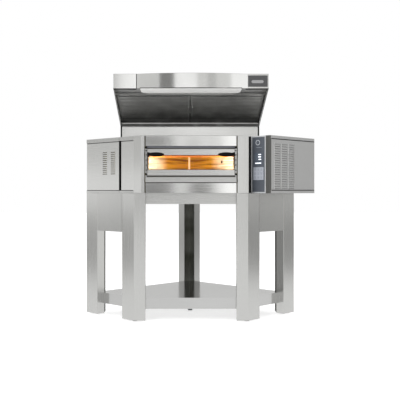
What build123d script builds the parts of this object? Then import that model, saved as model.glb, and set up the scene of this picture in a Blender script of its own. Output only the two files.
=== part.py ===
from build123d import *
import os
from math import atan2, cos, radians, sin, sqrt

# Corner pizza oven on a stand, with an extraction hood. Millimetres.
# The origin is on the floor under the centre foot, on the plane of symmetry.
# +X points to the right of a person at the door, +Y into the corner of the room, +Z up.

# Plan of the whole: every outline is a square turned by 45 degrees, with its front corner cut off.
FRONT_Y = -625.0
STAND_HALF = 475.0
STAND_REACH = 1374.0
BODY_HALF = 415.0
BODY_REACH = 1451.0

# Heights
STAND_TOP = 1070.0
BODY_HEIGHT = 480.0
FOOT_GAP = 12.0
HOOD_BOTTOM = 1941.0
HOOD_TOP = 2062.0
HOOD_REAR_BOTTOM = 1690.0

# Sheet and clearances
SHEET = 2.0
LEG_SHEET = 2.5
BEND = 4.0
SEAM = 0.5
FIT = 0.3
RUNNING = 0.05

# Stand
LEG_FLANGE = 152.0
LEG_FRONT_FLANGE = 96.0
LEG_RETURN = 80.0
RIM_RECESS = 68.0
SHELF_TOP = 193.0
SHELF_RIM = 93.0
SHELF_LIP = 25.0
RAIL_HEIGHT = 90.0
RAIL_FLANGE = 25.0
VALANCE_HEIGHT = 327.0
FOOT_RADIUS = 20.0
FOOT_DISC = 8.0
STEM_RADIUS = 6.0
STEM_LENGTH = 60.0
LEG_CAP = 6.0

# Oven casing
ROOF_RIM = 32.0
BASE_RIM = 22.0
PILLAR_INNER = 386.0
RIGHT_PILLAR_OUTER = 480.0
PILLAR_DEPTH = 65.0
CABLE_WINDOW = 70.0
FASCIA_HALF = 378.0
FASCIA_RECESS = 12.0
FASCIA_BEND = 30.0
TOP_FASCIA_BOTTOM = 1464.0
LOWER_FASCIA_TOP = 1155.0
GAP_START = 254.0
GAP_WIDTH = 25.0
GAP_DEPTH = 30.0
COVER_BEND = 18.0
SLOT_COLUMNS = 2
SLOT_ROWS = 12
SLOT_PITCH = 17.0
SLOT_HEIGHT = 6.0
SLOT_LENGTH = 60.0
SLOT_FIRST = 335.0
SLOT_COLUMN_PITCH = 111.0
SLOT_TOP = 1424.0

# Sill in two steps under the door
SILL_TOP = 1204.0
SILL_STEP = 1188.0
SILL_LOW = 1162.0
SILL_FRONT = 2.0
SILL_STEP_PROUD = 12.0
FRAME_FRONT = 50.0
MOUTH_TOP = 1425.0

# Door
DOOR_HALF = 366.0
DOOR_BOTTOM = 1218.0
DOOR_TOP = 1437.0
DOOR_THICK = 50.0
DOOR_PROUD = 6.0
DOOR_RAIL = 50.0
DOOR_SHEET = 3.0
END_PLATE = 5.0
GLASS = 5.0
GLASS_INSET = 8.0
INNER_GLASS_INSET = 36.0
PIVOT_UP = 10.0
PIVOT_IN = 18.0
PIN_RADIUS = 6.0
BUSH_WALL = 3.0
BRACKET = 8.0
BRACKET_TOP = 1458.0
HANDLE_WIDTH = 138.0
HANDLE_HEIGHT = 36.0
HANDLE_THICK = 18.0
HANDLE_STAND_OFF = 30.0
HANDLE_ARM = 16.0
HANDLE_Z = 1390.0
HANDLE_END = 6.0

# Chamber
CHAMBER_FRONT = 66.0
CHAMBER_MARGIN = 121.0
INSULATION = 48.0
CHAMBER_WALL = 5.0
CHAMBER_TOP = 1436.0
FLOOR_TRAY = 1208.0
STONE_TOP = 1262.0
STONE_THICK = 22.0
STONE_JOINT = 1.0
STONE_SPLIT = 330.0
BEARER = 4.0
CLIP_AT = 230.0
HEATER_FIRST = 140.0
HEATER_STEP = 190.0
HEATER_COUNT = 5
LAMP_NECK = 22.0
LAMP_GLASS = 34.0
HEATER_RADIUS = 4.5
HEATER_CLEARANCE = 1.5
HEATER_DROP = 20.0
HEATER_PITCH = 46.0
LOWER_HEATER_UP = 12.0
SUPPORT_WIDTH = 20.0
INSULATION_GAP = 4.0
LAMP_DEPTH = 45.0
LAMP_CAP = 10.0
LAMP_ALONG = 110.0
LAMP_Z = 1370.0
FLUE_HALF = 100.0
FLUE_FRONT = 758.0
FLUE_DEPTH = 30.0
FLUE_WALL = 1.5
PROBE_RADIUS = 3.0
PROBE_LENGTH = 60.0

# Control box on the right wall
BOX_WIDTH = 201.0
BOX_START = 130.0
BOX_LENGTH = 632.0
BOX_CORNER = 44.0
BOX_CORNER_DEPTH = 18.0
CORNER_ROUND = 8.0
BOX_SHEET = 3.0
BEZEL_BAR = 11.0
BEZEL_DEPTH = 10.0
PANEL_INSET = 2.0
PANEL_THICK = 4.0
RING_Z = 1493.0
RING_RADIUS = 21.5
RING_TRAVEL = 2.5
RING_SIDE = 4.0
RING_ACROSS = 62.0
RING_PROUD = 3.0
RING_BACK = 8.0
RING_CLEARANCE = 0.4
SWITCH_BLOCK = 18.0
FIELD_DEPTH = 1.5
FIELD_PROUD = 0.5
DISPLAY_TOP = 1408.0
DISPLAY_HEIGHT = 104.0
DISPLAY_WIDTH = 84.0
KEYPAD_TOP = 1288.0
KEYPAD_HEIGHT = 107.0
KEYPAD_WIDTH = 108.0
MOUNT_PLATE = 3.0
MOUNT_START = 261.0
RAIL_START = 280.0
RAIL_END = 448.0
RAIL_WIDTH = 34.0
RAIL_DEPTH = 7.0
RELAY_COUNT = 3
RELAY_START = 286.0
RELAY_WIDTH = 45.0
RELAY_GAP = 6.0
RELAY_HEIGHT = 80.0
RELAY_DEPTH = 58.0
RELAY_EDGE = 4.0
RELAY_Z = 330.0
TERMINAL_START = 311.0
TERMINAL_COUNT = 6
TERMINAL_PITCH = 22.0
TERMINAL_Z = 62.0
TERMINAL_HEIGHT = 38.0
TERMINAL_DEPTH = 32.0
TERMINAL_POCKET = (12.0, 15.0, 22.0)
FAN_GAP = 8.0
FAN_UP = 240.0
BOX_RIM = 26.0
LOUVRE_COLUMNS = 3
LOUVRE_ROWS = 20
LOUVRE_PITCH = 19.5
LOUVRE_WIDTH = 76.0
LOUVRE_SLOT = 5.0
LOUVRE_FIRST = 61.0
LOUVRE_COLUMN_PITCH = 97.0
LOUVRE_LOW = 1108.0
LOUVRE_LIP = 4.0
LOUVRE_PROUD = 4.0
FAN_SIZE = 119.0
FAN_DEPTH = 25.0
FAN_HUB = 22.0
FAN_HUB_HEIGHT = 18.0
FAN_BLADES = 7
FAN_WEB = 3.0
FAN_STRUT = 5.0
FAN_PIN = 2.5
FAN_PIN_LENGTH = 16.0
FAN_SPACER = 4.0
FAN_CORNER = 6.0
BLADE_CHORD = 22.0
BLADE_THICK = 1.5
BLADE_PITCH = 35.0
GLAND_RADIUS = 14.0
GLAND_BORE = 6.5
GLAND_LENGTH = 24.0
GLAND_NECK = 9.0
GLAND_UP = 60.0

# Hood
HOOD_HALF = 644.5
HOOD_DEPTH = 750.0
HOOD_SHEET = 2.0
BAND_LEFT = 450.0
BAND_RIGHT = 470.0
BAND_BULGE = 57.0
BAND_GAP = 6.0
RISER_DEPTH = 46.0
FILTER_LOW_DEPTH = 712.0
FILTER_LOW_Z = 1727.0
FILTER_SLOPE = 23.6
FILTER_LENGTH = 478.0
FILTER_THICK = 30.0
FILTER_GAP = 4.0
FILTER_GRIP = 10.0
FILTER_FRAME = 16.0
FILTER_SHEET = 2.0
FILTER_LIFT = 18.0
BAFFLE_PITCH = 24.0
BAFFLE_WIDTH = 13.0
GUTTER_HEIGHT = 27.0
GUTTER_DEPTH = 44.0
GUTTER_DRAINS = 6
HANDLE_BAR = 4.0
HANDLE_REACH = 110.0
HANDLE_RISE = 22.0
HANDLE_OFFSET = 18.0
HOOD_LIP = 10.0
BAND_LIP = 16.0
PLATE_THICK = 2.0
PLATE_LEFT = 474.0
PLATE_RIGHT = 636.0
PLATE_LOW = 1954.0
PLATE_HIGH = 2048.0
SWITCH_WIDTH = 100.0
SWITCH_HEIGHT = 26.0
SWITCH_Z = 1996.0
SWITCH_X = 552.0
SWITCH_TRAVEL = 2.0
SWITCH_PROUD = 3.0
SWITCH_BODY = 9.0
SWITCH_CLEARANCE = 0.4
LAMP_SHELF_DEPTH = 250.0
LAMP_HALF = 422.0
LAMP_CORNER = 60.0
DIFFUSER_THICK = 6.0
COLLAR_RADIUS = 75.0
COLLAR_HEIGHT = 60.0
COLLAR_WALL = 1.5
COLLAR_DEPTH = 520.0
BLOWER_RADIUS = 88.0
BLOWER_WIDTH = 130.0
BLOWER_Z = 1968.0
WHEEL_RADIUS = 62.0
WHEEL_BLADES = 20
WHEEL_BLADE = 1.2
WHEEL_CHORD = 9.0
WHEEL_ANGLE = 30.0
WHEEL_CLEARANCE = 12.0
WHEEL_RING = 3.0
WHEEL_RING_DEPTH = 10.0
HUB_WALL = 8.0
HUB_LENGTH = 30.0
SPIDER_ARM = 10.0
MOTOR_EDGE = 6.0
MOTOR_RADIUS = 38.0
MOTOR_LENGTH = 90.0
SHAFT_RADIUS = 6.0

ROOT2 = sqrt(2.0)
ROOF_Z = STAND_TOP + BODY_HEIGHT


def prism(points, low, high):
    """A vertical prism over a plan outline."""
    outline = Polyline([(x, y, low) for x, y in points], close=True)
    return extrude(make_face(outline), amount=high - low, dir=(0, 0, 1))


def folded(points, thick, low, high, bend=BEND):
    """A sheet that follows a line in plan, thickened to the left of the line, with rounded bends."""
    line = Wire(FilletPolyline(*[(x, y, 0) for x, y in points], radius=bend).edges())
    outline = line.offset_2d(thick, side=Side.LEFT)
    return Pos(0, 0, low) * extrude(Face(outline), amount=high - low, dir=(0, 0, 1))


def bar(x0, x1, y0, y1, z0, z1):
    """A block between two corners."""
    size = (x1 - x0, y1 - y0, z1 - z0)
    return Pos((x0 + x1) / 2, (y0 + y1) / 2, (z0 + z1) / 2) * Box(*size)


def mirrored(part):
    """The same piece on the other side of the plane of symmetry."""
    return mirror(part, about=Plane.YZ)


def plan(half, reach, inset=0.0):
    """The five corners of an outline, from the front right corner round to the front left one."""
    side = half - inset * (ROOT2 - 1.0)
    front = FRONT_Y + inset
    wide = (half + reach) / 2.0 - inset * ROOT2
    deep = FRONT_Y + (reach - half) / 2.0
    back = FRONT_Y + reach - inset * ROOT2
    return [(side, front), (wide, deep), (0.0, back), (-wide, deep), (-side, front)]


def side_frame(half):
    """A frame on the right side plane: x along the wall from the front corner, y inwards, z up."""
    return Plane(origin=(half, FRONT_Y, 0), x_dir=(1, 1, 0), z_dir=(0, 0, 1)).location


def rear_frame(half, reach):
    """A frame on the right rear plane: x along the wall from the far corner, y inwards, z up."""
    corner = ((half + reach) / 2.0, FRONT_Y + (reach - half) / 2.0, 0)
    return Plane(origin=corner, x_dir=(-1, 1, 0), z_dir=(0, 0, 1)).location


def side_length(half, reach):
    """Length of a side wall, from the front corner to the far corner."""
    return (reach - half) / 2.0 * ROOT2


def rear_length(half, reach):
    """Length of a rear wall, from the far corner to the back corner."""
    return (reach + half) / 2.0 * ROOT2


def rod(start, end, radius):
    """A round bar between two points."""
    axis = Vector(*end) - Vector(*start)
    return Plane(origin=start, z_dir=axis) * extrude(Circle(radius), amount=axis.length)


def leg_lines():
    """Plan line of each leg's folded sheet, from one return round the corner to the other."""
    along = LEG_FLANGE / ROOT2
    turn = LEG_RETURN / ROOT2
    front = FRONT_Y
    wide = (STAND_HALF + STAND_REACH) / 2.0
    deep = FRONT_Y + (STAND_REACH - STAND_HALF) / 2.0
    back = FRONT_Y + STAND_REACH
    inner = STAND_HALF - LEG_FRONT_FLANGE
    front_right = [
        (inner, front + LEG_RETURN),
        (inner, front),
        (STAND_HALF, front),
        (STAND_HALF + along, front + along),
        (STAND_HALF + along - turn, front + along + turn),
    ]
    side_right = [
        (wide - along - turn, deep - along + turn),
        (wide - along, deep - along),
        (wide, deep),
        (wide - along, deep + along),
        (wide - along - turn, deep + along - turn),
    ]
    back_leg = [
        (along - turn, back - along - turn),
        (along, back - along),
        (0.0, back),
        (-along, back - along),
        (turn - along, back - along - turn),
    ]
    return front_right, side_right, back_leg


def foot_places():
    """Where each leg's levelling foot stands in plan."""
    front_right, side_right, back_leg = leg_lines()
    places = []
    for line in (front_right, side_right):
        x = sum(p[0] for p in line) / len(line)
        y = sum(p[1] for p in line) / len(line)
        places += [(x, y), (-x, y)]
    places.append((0.0, sum(p[1] for p in back_leg) / len(back_leg)))
    return places


def leg(line):
    """A corner post: folded stainless sheet with returns, closed by a welded foot plate."""
    post = folded(line, LEG_SHEET, FOOT_GAP, STAND_TOP)
    plate = prism(line, FOOT_GAP + FIT, FOOT_GAP + LEG_CAP)
    inner = folded(line, LEG_SHEET / 2.0, FOOT_GAP, STAND_TOP)
    x = sum(p[0] for p in line) / len(line)
    y = sum(p[1] for p in line) / len(line)
    stem_hole = Pos(x, y, FOOT_GAP) * Cylinder(STEM_RADIUS + RUNNING, 4 * LEG_CAP)
    return post + (plate - inner) - stem_hole


def levelling_feet():
    """Five screw feet: a wide disc on the floor, a lock nut and a stem through the leg's foot plate."""
    feet = []
    for x, y in foot_places():
        disc = Pos(x, y, FOOT_DISC / 2.0) * Cylinder(FOOT_RADIUS, FOOT_DISC)
        disc = chamfer(disc.edges().group_by(Axis.Z)[-1], FOOT_DISC / 4.0)
        stem = Pos(x, y, STEM_LENGTH / 2.0) * Cylinder(STEM_RADIUS, STEM_LENGTH)
        nut_height = FOOT_GAP - FOOT_DISC - FIT
        nut = Pos(x, y, FOOT_DISC) * extrude(RegularPolygon(STEM_RADIUS * 1.7, 6), amount=nut_height)
        feet.append(disc + stem + nut)
    return Compound(children=[foot.solids()[0] for foot in feet])


def centre_foot():
    """A round post under the middle of the shelf, with its own screw foot on the floor."""
    disc = Pos(0, 0, FOOT_DISC / 2.0) * Cylinder(FOOT_RADIUS, FOOT_DISC)
    stem_top = SHELF_TOP - SHELF_RIM
    stem = Pos(0, 0, stem_top / 2.0) * Cylinder(STEM_RADIUS, stem_top)
    post_top = SHELF_TOP - SHEET
    length = post_top - stem_top / 2.0
    post = Pos(0, 0, post_top - length / 2.0) * Cylinder(FOOT_RADIUS * 0.8, length)
    return disc + stem + post


def leg_clearance(low, high):
    """What the five legs take out of a panel that runs between them."""
    front_right, side_right, back_leg = leg_lines()
    room = None
    for line in (front_right, side_right, back_leg):
        outline = Polyline([(x, y, low) for x, y in line], close=True)
        post = extrude(offset(make_face(outline), amount=FIT, kind=Kind.INTERSECTION), amount=high - low,
                       dir=(0, 0, 1))
        room = post if room is None else room + post
        if line is not back_leg:
            room += mirrored(post)
    return room


def shelf():
    """The pentagon shelf: one folded tray with a deep rim, turned in again at its lower edge."""
    low = SHELF_TOP - SHELF_RIM
    outer = prism(plan(STAND_HALF, STAND_REACH, RIM_RECESS), low, SHELF_TOP)
    hollow = prism(plan(STAND_HALF, STAND_REACH, RIM_RECESS + SHEET), low + SHEET, SHELF_TOP - SHEET)
    mouth = prism(plan(STAND_HALF, STAND_REACH, RIM_RECESS + SHELF_LIP), low, low + SHEET)
    tray = outer - hollow - mouth - leg_clearance(low - SHEET, SHELF_TOP + SHEET)
    return tray.solids().sort_by(SortBy.VOLUME)[-1]


def channel(length, height, depth, thick):
    """A channel rail: web on the y = 0 plane, flanges and end flanges turned inwards."""
    block = bar(0, length, 0, depth, 0, height)
    pocket = bar(thick, length - thick, thick, depth, thick, height - thick)
    return block - pocket


def front_rail():
    """The recessed rail between the front legs, under the oven's front."""
    length = 2.0 * (STAND_HALF - LEG_FRONT_FLANGE - FIT)
    rail = channel(length, RAIL_HEIGHT, RAIL_FLANGE, SHEET)
    place = Pos(-length / 2.0, FRONT_Y + RIM_RECESS - RAIL_FLANGE / 2.0, STAND_TOP - RAIL_HEIGHT)
    return place * rail


def side_valance():
    """The deep panel between a front leg and a side leg, flush with both."""
    length = side_length(STAND_HALF, STAND_REACH) - 2.0 * (LEG_FLANGE + FIT)
    panel = channel(length, VALANCE_HEIGHT, RAIL_FLANGE, SHEET)
    place = Pos(LEG_FLANGE + FIT, 0, STAND_TOP - VALANCE_HEIGHT)
    return side_frame(STAND_HALF) * place * panel


def rear_rail():
    """The rail between a side leg and the back leg, on the wall side."""
    length = rear_length(STAND_HALF, STAND_REACH) - 2.0 * (LEG_FLANGE + FIT)
    rail = channel(length, RAIL_HEIGHT, RAIL_FLANGE, SHEET)
    place = Pos(LEG_FLANGE + FIT, 0, STAND_TOP - RAIL_HEIGHT)
    return rear_frame(STAND_HALF, STAND_REACH) * place * rail


def rim_ring(low, high, inset, thick):
    """A band of sheet round the casing's plan."""
    return prism(plan(BODY_HALF, BODY_REACH, inset), low, high) - prism(
        plan(BODY_HALF, BODY_REACH, inset + thick), low, high)


def front_window(low, high):
    """The room for pillars, fascias and door in the casing's front."""
    left = -BODY_HALF - PILLAR_DEPTH - FIT
    return bar(left, RIGHT_PILLAR_OUTER + FIT, FRONT_Y - SHEET, FRONT_Y + PILLAR_DEPTH + SHEET, low, high)


def base_tray():
    """The tray that the oven is built on, with a short rim folded up round it."""
    plate = prism(plan(BODY_HALF, BODY_REACH), STAND_TOP, STAND_TOP + SHEET)
    rim = rim_ring(STAND_TOP + SHEET, STAND_TOP + BASE_RIM, 0.0, SHEET)
    return plate + (rim - front_window(STAND_TOP + SHEET, STAND_TOP + BASE_RIM))


def flue_room(low, high, extra):
    """The room that the steam outlet needs where it passes through a sheet."""
    return bar(-FLUE_HALF - extra, FLUE_HALF + extra, FRONT_Y + FLUE_FRONT - extra,
               FRONT_Y + FLUE_FRONT + FLUE_DEPTH + extra, low, high)


def roof_panel():
    """The lid of the casing, with its rim folded down over the walls."""
    plate = prism(plan(BODY_HALF, BODY_REACH), ROOF_Z - SHEET, ROOF_Z)
    rim = rim_ring(ROOF_Z - ROOF_RIM, ROOF_Z - SHEET, 0.0, SHEET)
    rim -= front_window(ROOF_Z - ROOF_RIM, ROOF_Z - SHEET)
    return plate + rim - flue_room(ROOF_Z - 2 * SHEET, ROOF_Z + SHEET, FIT)


def wall_sheet(start, stop, bend):
    """A wall panel set just behind the rims, its ends turned in."""
    high = BODY_HEIGHT - 2.0 * (SHEET + SEAM)
    panel = bar(start, stop, SHEET + FIT, 2.0 * SHEET + FIT, 0, high)
    for x in (start, stop - SHEET):
        panel += bar(x, x + SHEET, SHEET + FIT, bend, 0, high)
    return Pos(0, 0, STAND_TOP + SHEET + SEAM) * panel


def side_panel():
    """The plain front part of a side wall."""
    start = PILLAR_DEPTH * ROOT2
    return side_frame(BODY_HALF) * wall_sheet(start, GAP_START, COVER_BEND)


def gap_channel():
    """The dark recessed channel between the plain panel and the vented cover."""
    high = BODY_HEIGHT - 2.0 * (SHEET + SEAM)
    outer = bar(GAP_START + FIT, GAP_START + GAP_WIDTH - FIT, SHEET + FIT, GAP_DEPTH, 0, high)
    room = bar(GAP_START + SHEET, GAP_START + GAP_WIDTH - SHEET, 0, GAP_DEPTH - SHEET, 0, high)
    return side_frame(BODY_HALF) * Pos(0, 0, STAND_TOP + SHEET + SEAM) * (outer - room)


def slot_grid(columns, rows, first, column_pitch, top, row_pitch, size):
    """Cutters for a block of slots in a wall: columns along the wall, rows down from the top."""
    cutters = []
    for column in range(columns):
        for row in range(rows):
            x = first + column * column_pitch + size[0] / 2.0
            z = top - row * row_pitch
            cutters.append(Pos(x, 0, z) * Box(size[0], 6.0 * SHEET, size[1]))
    return cutters


def vent_cover():
    """The rear part of the left wall: a removable cover with two columns of air slots."""
    start = GAP_START + GAP_WIDTH
    stop = side_length(BODY_HALF, BODY_REACH) - SHEET - FIT
    cover = wall_sheet(start, stop, COVER_BEND)
    size = (SLOT_LENGTH, SLOT_HEIGHT)
    for cutter in slot_grid(SLOT_COLUMNS, SLOT_ROWS, SLOT_FIRST, SLOT_COLUMN_PITCH, SLOT_TOP, SLOT_PITCH,
                            size):
        cover -= Pos(0, 1.5 * SHEET + FIT, 0) * cutter
    return mirrored(side_frame(BODY_HALF) * cover)


def right_rear_panel():
    """The rear part of the right wall, behind the control box, with a cable window into it."""
    start = GAP_START
    stop = side_length(BODY_HALF, BODY_REACH) - SHEET - FIT
    panel = wall_sheet(start + FIT, stop, COVER_BEND)
    window = bar(start + CABLE_WINDOW, start + 2 * CABLE_WINDOW, 0, COVER_BEND, ROOF_Z - 2 * CABLE_WINDOW,
                 ROOF_Z - CABLE_WINDOW)
    return side_frame(BODY_HALF) * (panel - window)


def rear_panel():
    """A wall on the side of the room's corner, with a row of air slots low down."""
    length = rear_length(BODY_HALF, BODY_REACH)
    panel = wall_sheet(SHEET + COVER_BEND, length - SHEET - COVER_BEND, COVER_BEND)
    size = (SLOT_LENGTH, SLOT_HEIGHT)
    first = length / 2.0 - SLOT_COLUMN_PITCH
    for cutter in slot_grid(SLOT_COLUMNS, SLOT_ROWS // 2, first, SLOT_COLUMN_PITCH,
                            STAND_TOP + BODY_HEIGHT / 3.0, SLOT_PITCH, size):
        panel -= Pos(0, 1.5 * SHEET + FIT, 0) * cutter
    return rear_frame(BODY_HALF, BODY_REACH) * panel


def along_x(points, thick, half, start=None):
    """A folded sheet whose profile lies in the YZ plane, thickened to the left of the line."""
    line = Wire(Polyline([(y, z, 0) for y, z in points]).edges())
    outline = line.offset_2d(thick, kind=Kind.INTERSECTION, side=Side.LEFT)
    low = -half if start is None else start
    return Plane(origin=(low, 0, 0), x_dir=(0, 1, 0), z_dir=(1, 0, 0)).location * extrude(
        Face(outline), amount=half - low, dir=(0, 0, 1))


def pillar_left():
    """The narrow left post of the front, folded round the corner onto the side wall."""
    side = PILLAR_DEPTH
    line = [
        (PILLAR_INNER, FRONT_Y + PILLAR_DEPTH),
        (PILLAR_INNER, FRONT_Y),
        (BODY_HALF, FRONT_Y),
        (BODY_HALF + side, FRONT_Y + side),
    ]
    return mirrored(folded(line, SHEET, STAND_TOP + SHEET + SEAM, ROOF_Z - SHEET - SEAM))


def pillar_right():
    """The wider right post, which closes the front beside the control box."""
    line = [
        (PILLAR_INNER, FRONT_Y + PILLAR_DEPTH),
        (PILLAR_INNER, FRONT_Y),
        (RIGHT_PILLAR_OUTER, FRONT_Y),
        (RIGHT_PILLAR_OUTER, FRONT_Y + PILLAR_DEPTH),
    ]
    return folded(line, SHEET, STAND_TOP + SHEET + SEAM, ROOF_Z - SHEET - SEAM)


def fascia(low, high):
    """A front strip between the pillars, with flanges turned back above and below."""
    front = FRONT_Y + FASCIA_RECESS
    points = [(front + FASCIA_BEND, high), (front, high), (front, low), (front + FASCIA_BEND, low)]
    return along_x(points, SHEET, FASCIA_HALF)


def sill():
    """The stepped ledge under the door, folded from one sheet."""
    front = FRONT_Y + SILL_FRONT
    proud = front - SILL_STEP_PROUD
    points = [
        (FRONT_Y + FRAME_FRONT - FIT, SILL_TOP),
        (front, SILL_TOP),
        (front, SILL_STEP),
        (proud, SILL_STEP),
        (proud, SILL_LOW),
        (FRONT_Y + FASCIA_RECESS + FASCIA_BEND, SILL_LOW),
    ]
    return along_x(points, SHEET, FASCIA_HALF)


def slot_baffle():
    """The black strip at the back of the steam slot above the door."""
    back = FRONT_Y + FRAME_FRONT - FIT
    front = FRONT_Y + 2.0 * FASCIA_RECESS
    high = TOP_FASCIA_BOTTOM - FIT
    low = DOOR_TOP + FASCIA_RECESS
    points = [(back, high), (front, high), (front, low), (back, low)]
    return along_x(points, SHEET, DOOR_HALF)


def mouth_half():
    """Half the width of the chamber where its side walls meet the front."""
    return BODY_HALF - CHAMBER_MARGIN + CHAMBER_FRONT


def mouth_frame():
    """The plate round the chamber's mouth, which the door closes against."""
    y0 = FRONT_Y + FRAME_FRONT
    y1 = FRONT_Y + CHAMBER_FRONT - FIT
    plate = bar(-FASCIA_HALF, FASCIA_HALF, y0, y1, LOWER_FASCIA_TOP, TOP_FASCIA_BOTTOM)
    half = mouth_half() - CHAMBER_WALL
    return plate - bar(-half, half, y0 - SHEET, y1 + SHEET, STONE_TOP - SHEET, MOUTH_TOP)


def door_seal():
    """A braided seal on the mouth frame, along both sides and the top of the mouth."""
    y0 = FRONT_Y - DOOR_PROUD + DOOR_THICK + FIT
    y1 = FRONT_Y + FRAME_FRONT
    half = mouth_half() + CHAMBER_WALL
    outer = bar(-half, half, y0, y1, STONE_TOP, MOUTH_TOP + 2 * CHAMBER_WALL)
    inner_half = mouth_half() - CHAMBER_WALL
    return outer - bar(-inner_half, inner_half, y0 - SHEET, y1 + SHEET, STONE_TOP - SHEET, MOUTH_TOP)


def hinge_axis():
    """Depth and height of the door's pivot axis."""
    return FRONT_Y - DOOR_PROUD + PIVOT_IN, DOOR_BOTTOM + PIVOT_UP


def hinge_brackets():
    """Two upright side plates that carry the door's bushes."""
    y, z = hinge_axis()
    x0 = DOOR_HALF + BUSH_WALL
    x1 = FASCIA_HALF - FIT
    plate = bar(x0, x1, FRONT_Y + FIT, FRONT_Y + FRAME_FRONT, SILL_TOP + FIT, BRACKET_TOP)
    plate = fillet(plate.edges().filter_by(Axis.X).group_by(Axis.Y)[0], BRACKET)
    hole = Plane(origin=(x0, y, z), z_dir=(1, 0, 0)) * extrude(Circle(PIN_RADIUS + BUSH_WALL), amount=x1 - x0)
    plate -= hole
    return Compound(children=[plate.solids()[0], mirrored(plate).solids()[0]])


def hinge_bushes():
    """Plain bushes pressed into the brackets."""
    y, z = hinge_axis()
    x0 = DOOR_HALF + BUSH_WALL
    x1 = FASCIA_HALF - FIT
    ring = Circle(PIN_RADIUS + BUSH_WALL) - Circle(PIN_RADIUS + RUNNING)
    bush = Plane(origin=(x0, y, z), z_dir=(1, 0, 0)) * extrude(ring, amount=x1 - x0)
    return Compound(children=[bush.solids()[0], mirrored(bush).solids()[0]])


def door_rail(low, high):
    """A hollow rail across the door."""
    y0 = FRONT_Y - DOOR_PROUD
    half = DOOR_HALF - END_PLATE
    outer = bar(-half, half, y0, y0 + DOOR_THICK, low, high)
    outer = fillet(outer.edges().filter_by(Axis.X).group_by(Axis.Y)[0], DOOR_SHEET)
    room = bar(-half, half, y0 + DOOR_SHEET, y0 + DOOR_THICK - DOOR_SHEET, low + DOOR_SHEET,
               high - DOOR_SHEET)
    return outer - room


def door_end_plates():
    """Two cheeks that join the rails, each with its pivot pin."""
    y, z = hinge_axis()
    y0 = FRONT_Y - DOOR_PROUD
    plate = bar(DOOR_HALF - END_PLATE, DOOR_HALF, y0, y0 + DOOR_THICK, DOOR_BOTTOM, DOOR_TOP)
    plate = fillet(plate.edges().filter_by(Axis.X).group_by(Axis.Y)[0], DOOR_SHEET)
    pin = rod((DOOR_HALF - END_PLATE, y, z), (FASCIA_HALF - FIT, y, z), PIN_RADIUS)
    plate = plate + pin
    return Compound(children=[plate.solids()[0], mirrored(plate).solids()[0]])


def door_glass(inset):
    """A pane that runs the full width of the door between the two rails."""
    y0 = FRONT_Y - DOOR_PROUD + inset
    half = DOOR_HALF - END_PLATE - FIT
    low = DOOR_BOTTOM + DOOR_RAIL - BUSH_WALL + FIT
    return bar(-half, half, y0, y0 + GLASS, low, DOOR_TOP - DOOR_RAIL - FIT)


def door_handle():
    """A flat oval grip at the right end of the door, with a short arm back to the upper rail."""
    face = FRONT_Y - DOOR_PROUD
    centre = DOOR_HALF - HANDLE_END - HANDLE_WIDTH / 2.0
    grip = extrude(Ellipse(HANDLE_WIDTH / 2.0, HANDLE_HEIGHT / 2.0), amount=HANDLE_THICK)
    grip = fillet(grip.edges().group_by(Axis.Z)[0] + grip.edges().group_by(Axis.Z)[-1], HANDLE_THICK / 6.0)
    grip = Plane(origin=(centre, face - HANDLE_STAND_OFF, HANDLE_Z), x_dir=(1, 0, 0), z_dir=(0, -1, 0)) * grip
    arm_outer = DOOR_HALF - HANDLE_END
    arm = bar(arm_outer - HANDLE_ARM, arm_outer, face - HANDLE_STAND_OFF - HANDLE_THICK, face,
              HANDLE_Z - HANDLE_HEIGHT / 2.0, HANDLE_Z + HANDLE_HEIGHT / 2.0)
    arm = fillet(arm.edges().filter_by(Axis.X).group_by(Axis.Y)[0], HANDLE_THICK / 3.0)
    return grip + arm


def chamber_plan(extra=0.0):
    """The chamber's outline: parallel to the casing, cut straight at the mouth."""
    half = BODY_HALF - CHAMBER_MARGIN + extra * ROOT2
    reach = BODY_REACH - CHAMBER_MARGIN + extra * ROOT2
    wide = (half + reach) / 2.0
    deep = FRONT_Y + (reach - half) / 2.0
    front = FRONT_Y + CHAMBER_FRONT
    mouth = half + CHAMBER_FRONT
    return [(mouth, front), (wide, deep), (0.0, FRONT_Y + reach), (-wide, deep), (-mouth, front)]


def chamber_side_frame():
    """A frame on the chamber's right wall: x along it from the mouth, y out of the chamber's space."""
    return Plane(origin=(mouth_half(), FRONT_Y + CHAMBER_FRONT, 0), x_dir=(1, 1, 0), z_dir=(0, 0, 1)).location


def lamp_hole(radius, y0, y1):
    """A round room through the right wall at the lamp's place."""
    frame = chamber_side_frame() * Plane(origin=(LAMP_ALONG, y1, LAMP_Z), z_dir=(0, -1, 0)).location
    return frame * extrude(Circle(radius), amount=y1 - y0)


def probe_rod(radius, y0, y1):
    """A round room or rod through the right wall at the probe's place."""
    frame = chamber_side_frame() * Plane(origin=(2.0 * LAMP_ALONG, y1, LAMP_Z), z_dir=(0, -1, 0)).location
    return frame * extrude(Circle(radius), amount=y1 - y0)


def chamber_walls():
    """Four refractory-faced walls round the baking chamber, open at the mouth."""
    low = FLOOR_TRAY + SHEET
    ring = prism(chamber_plan(CHAMBER_WALL), low, CHAMBER_TOP) - prism(chamber_plan(), low, CHAMBER_TOP)
    hole = lamp_hole(LAMP_NECK + FIT, -2 * CHAMBER_WALL, CHAMBER_WALL)
    return ring - hole - mirrored(hole) - probe_rod(PROBE_RADIUS + RUNNING, -2 * CHAMBER_WALL, CHAMBER_WALL)


def chamber_ceiling():
    """The chamber's top plate, with the room for the steam outlet."""
    plate = prism(chamber_plan(CHAMBER_WALL), CHAMBER_TOP, CHAMBER_TOP + SHEET)
    return plate - flue_room(CHAMBER_TOP - SHEET, CHAMBER_TOP + 2 * SHEET, 0.0)


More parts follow.
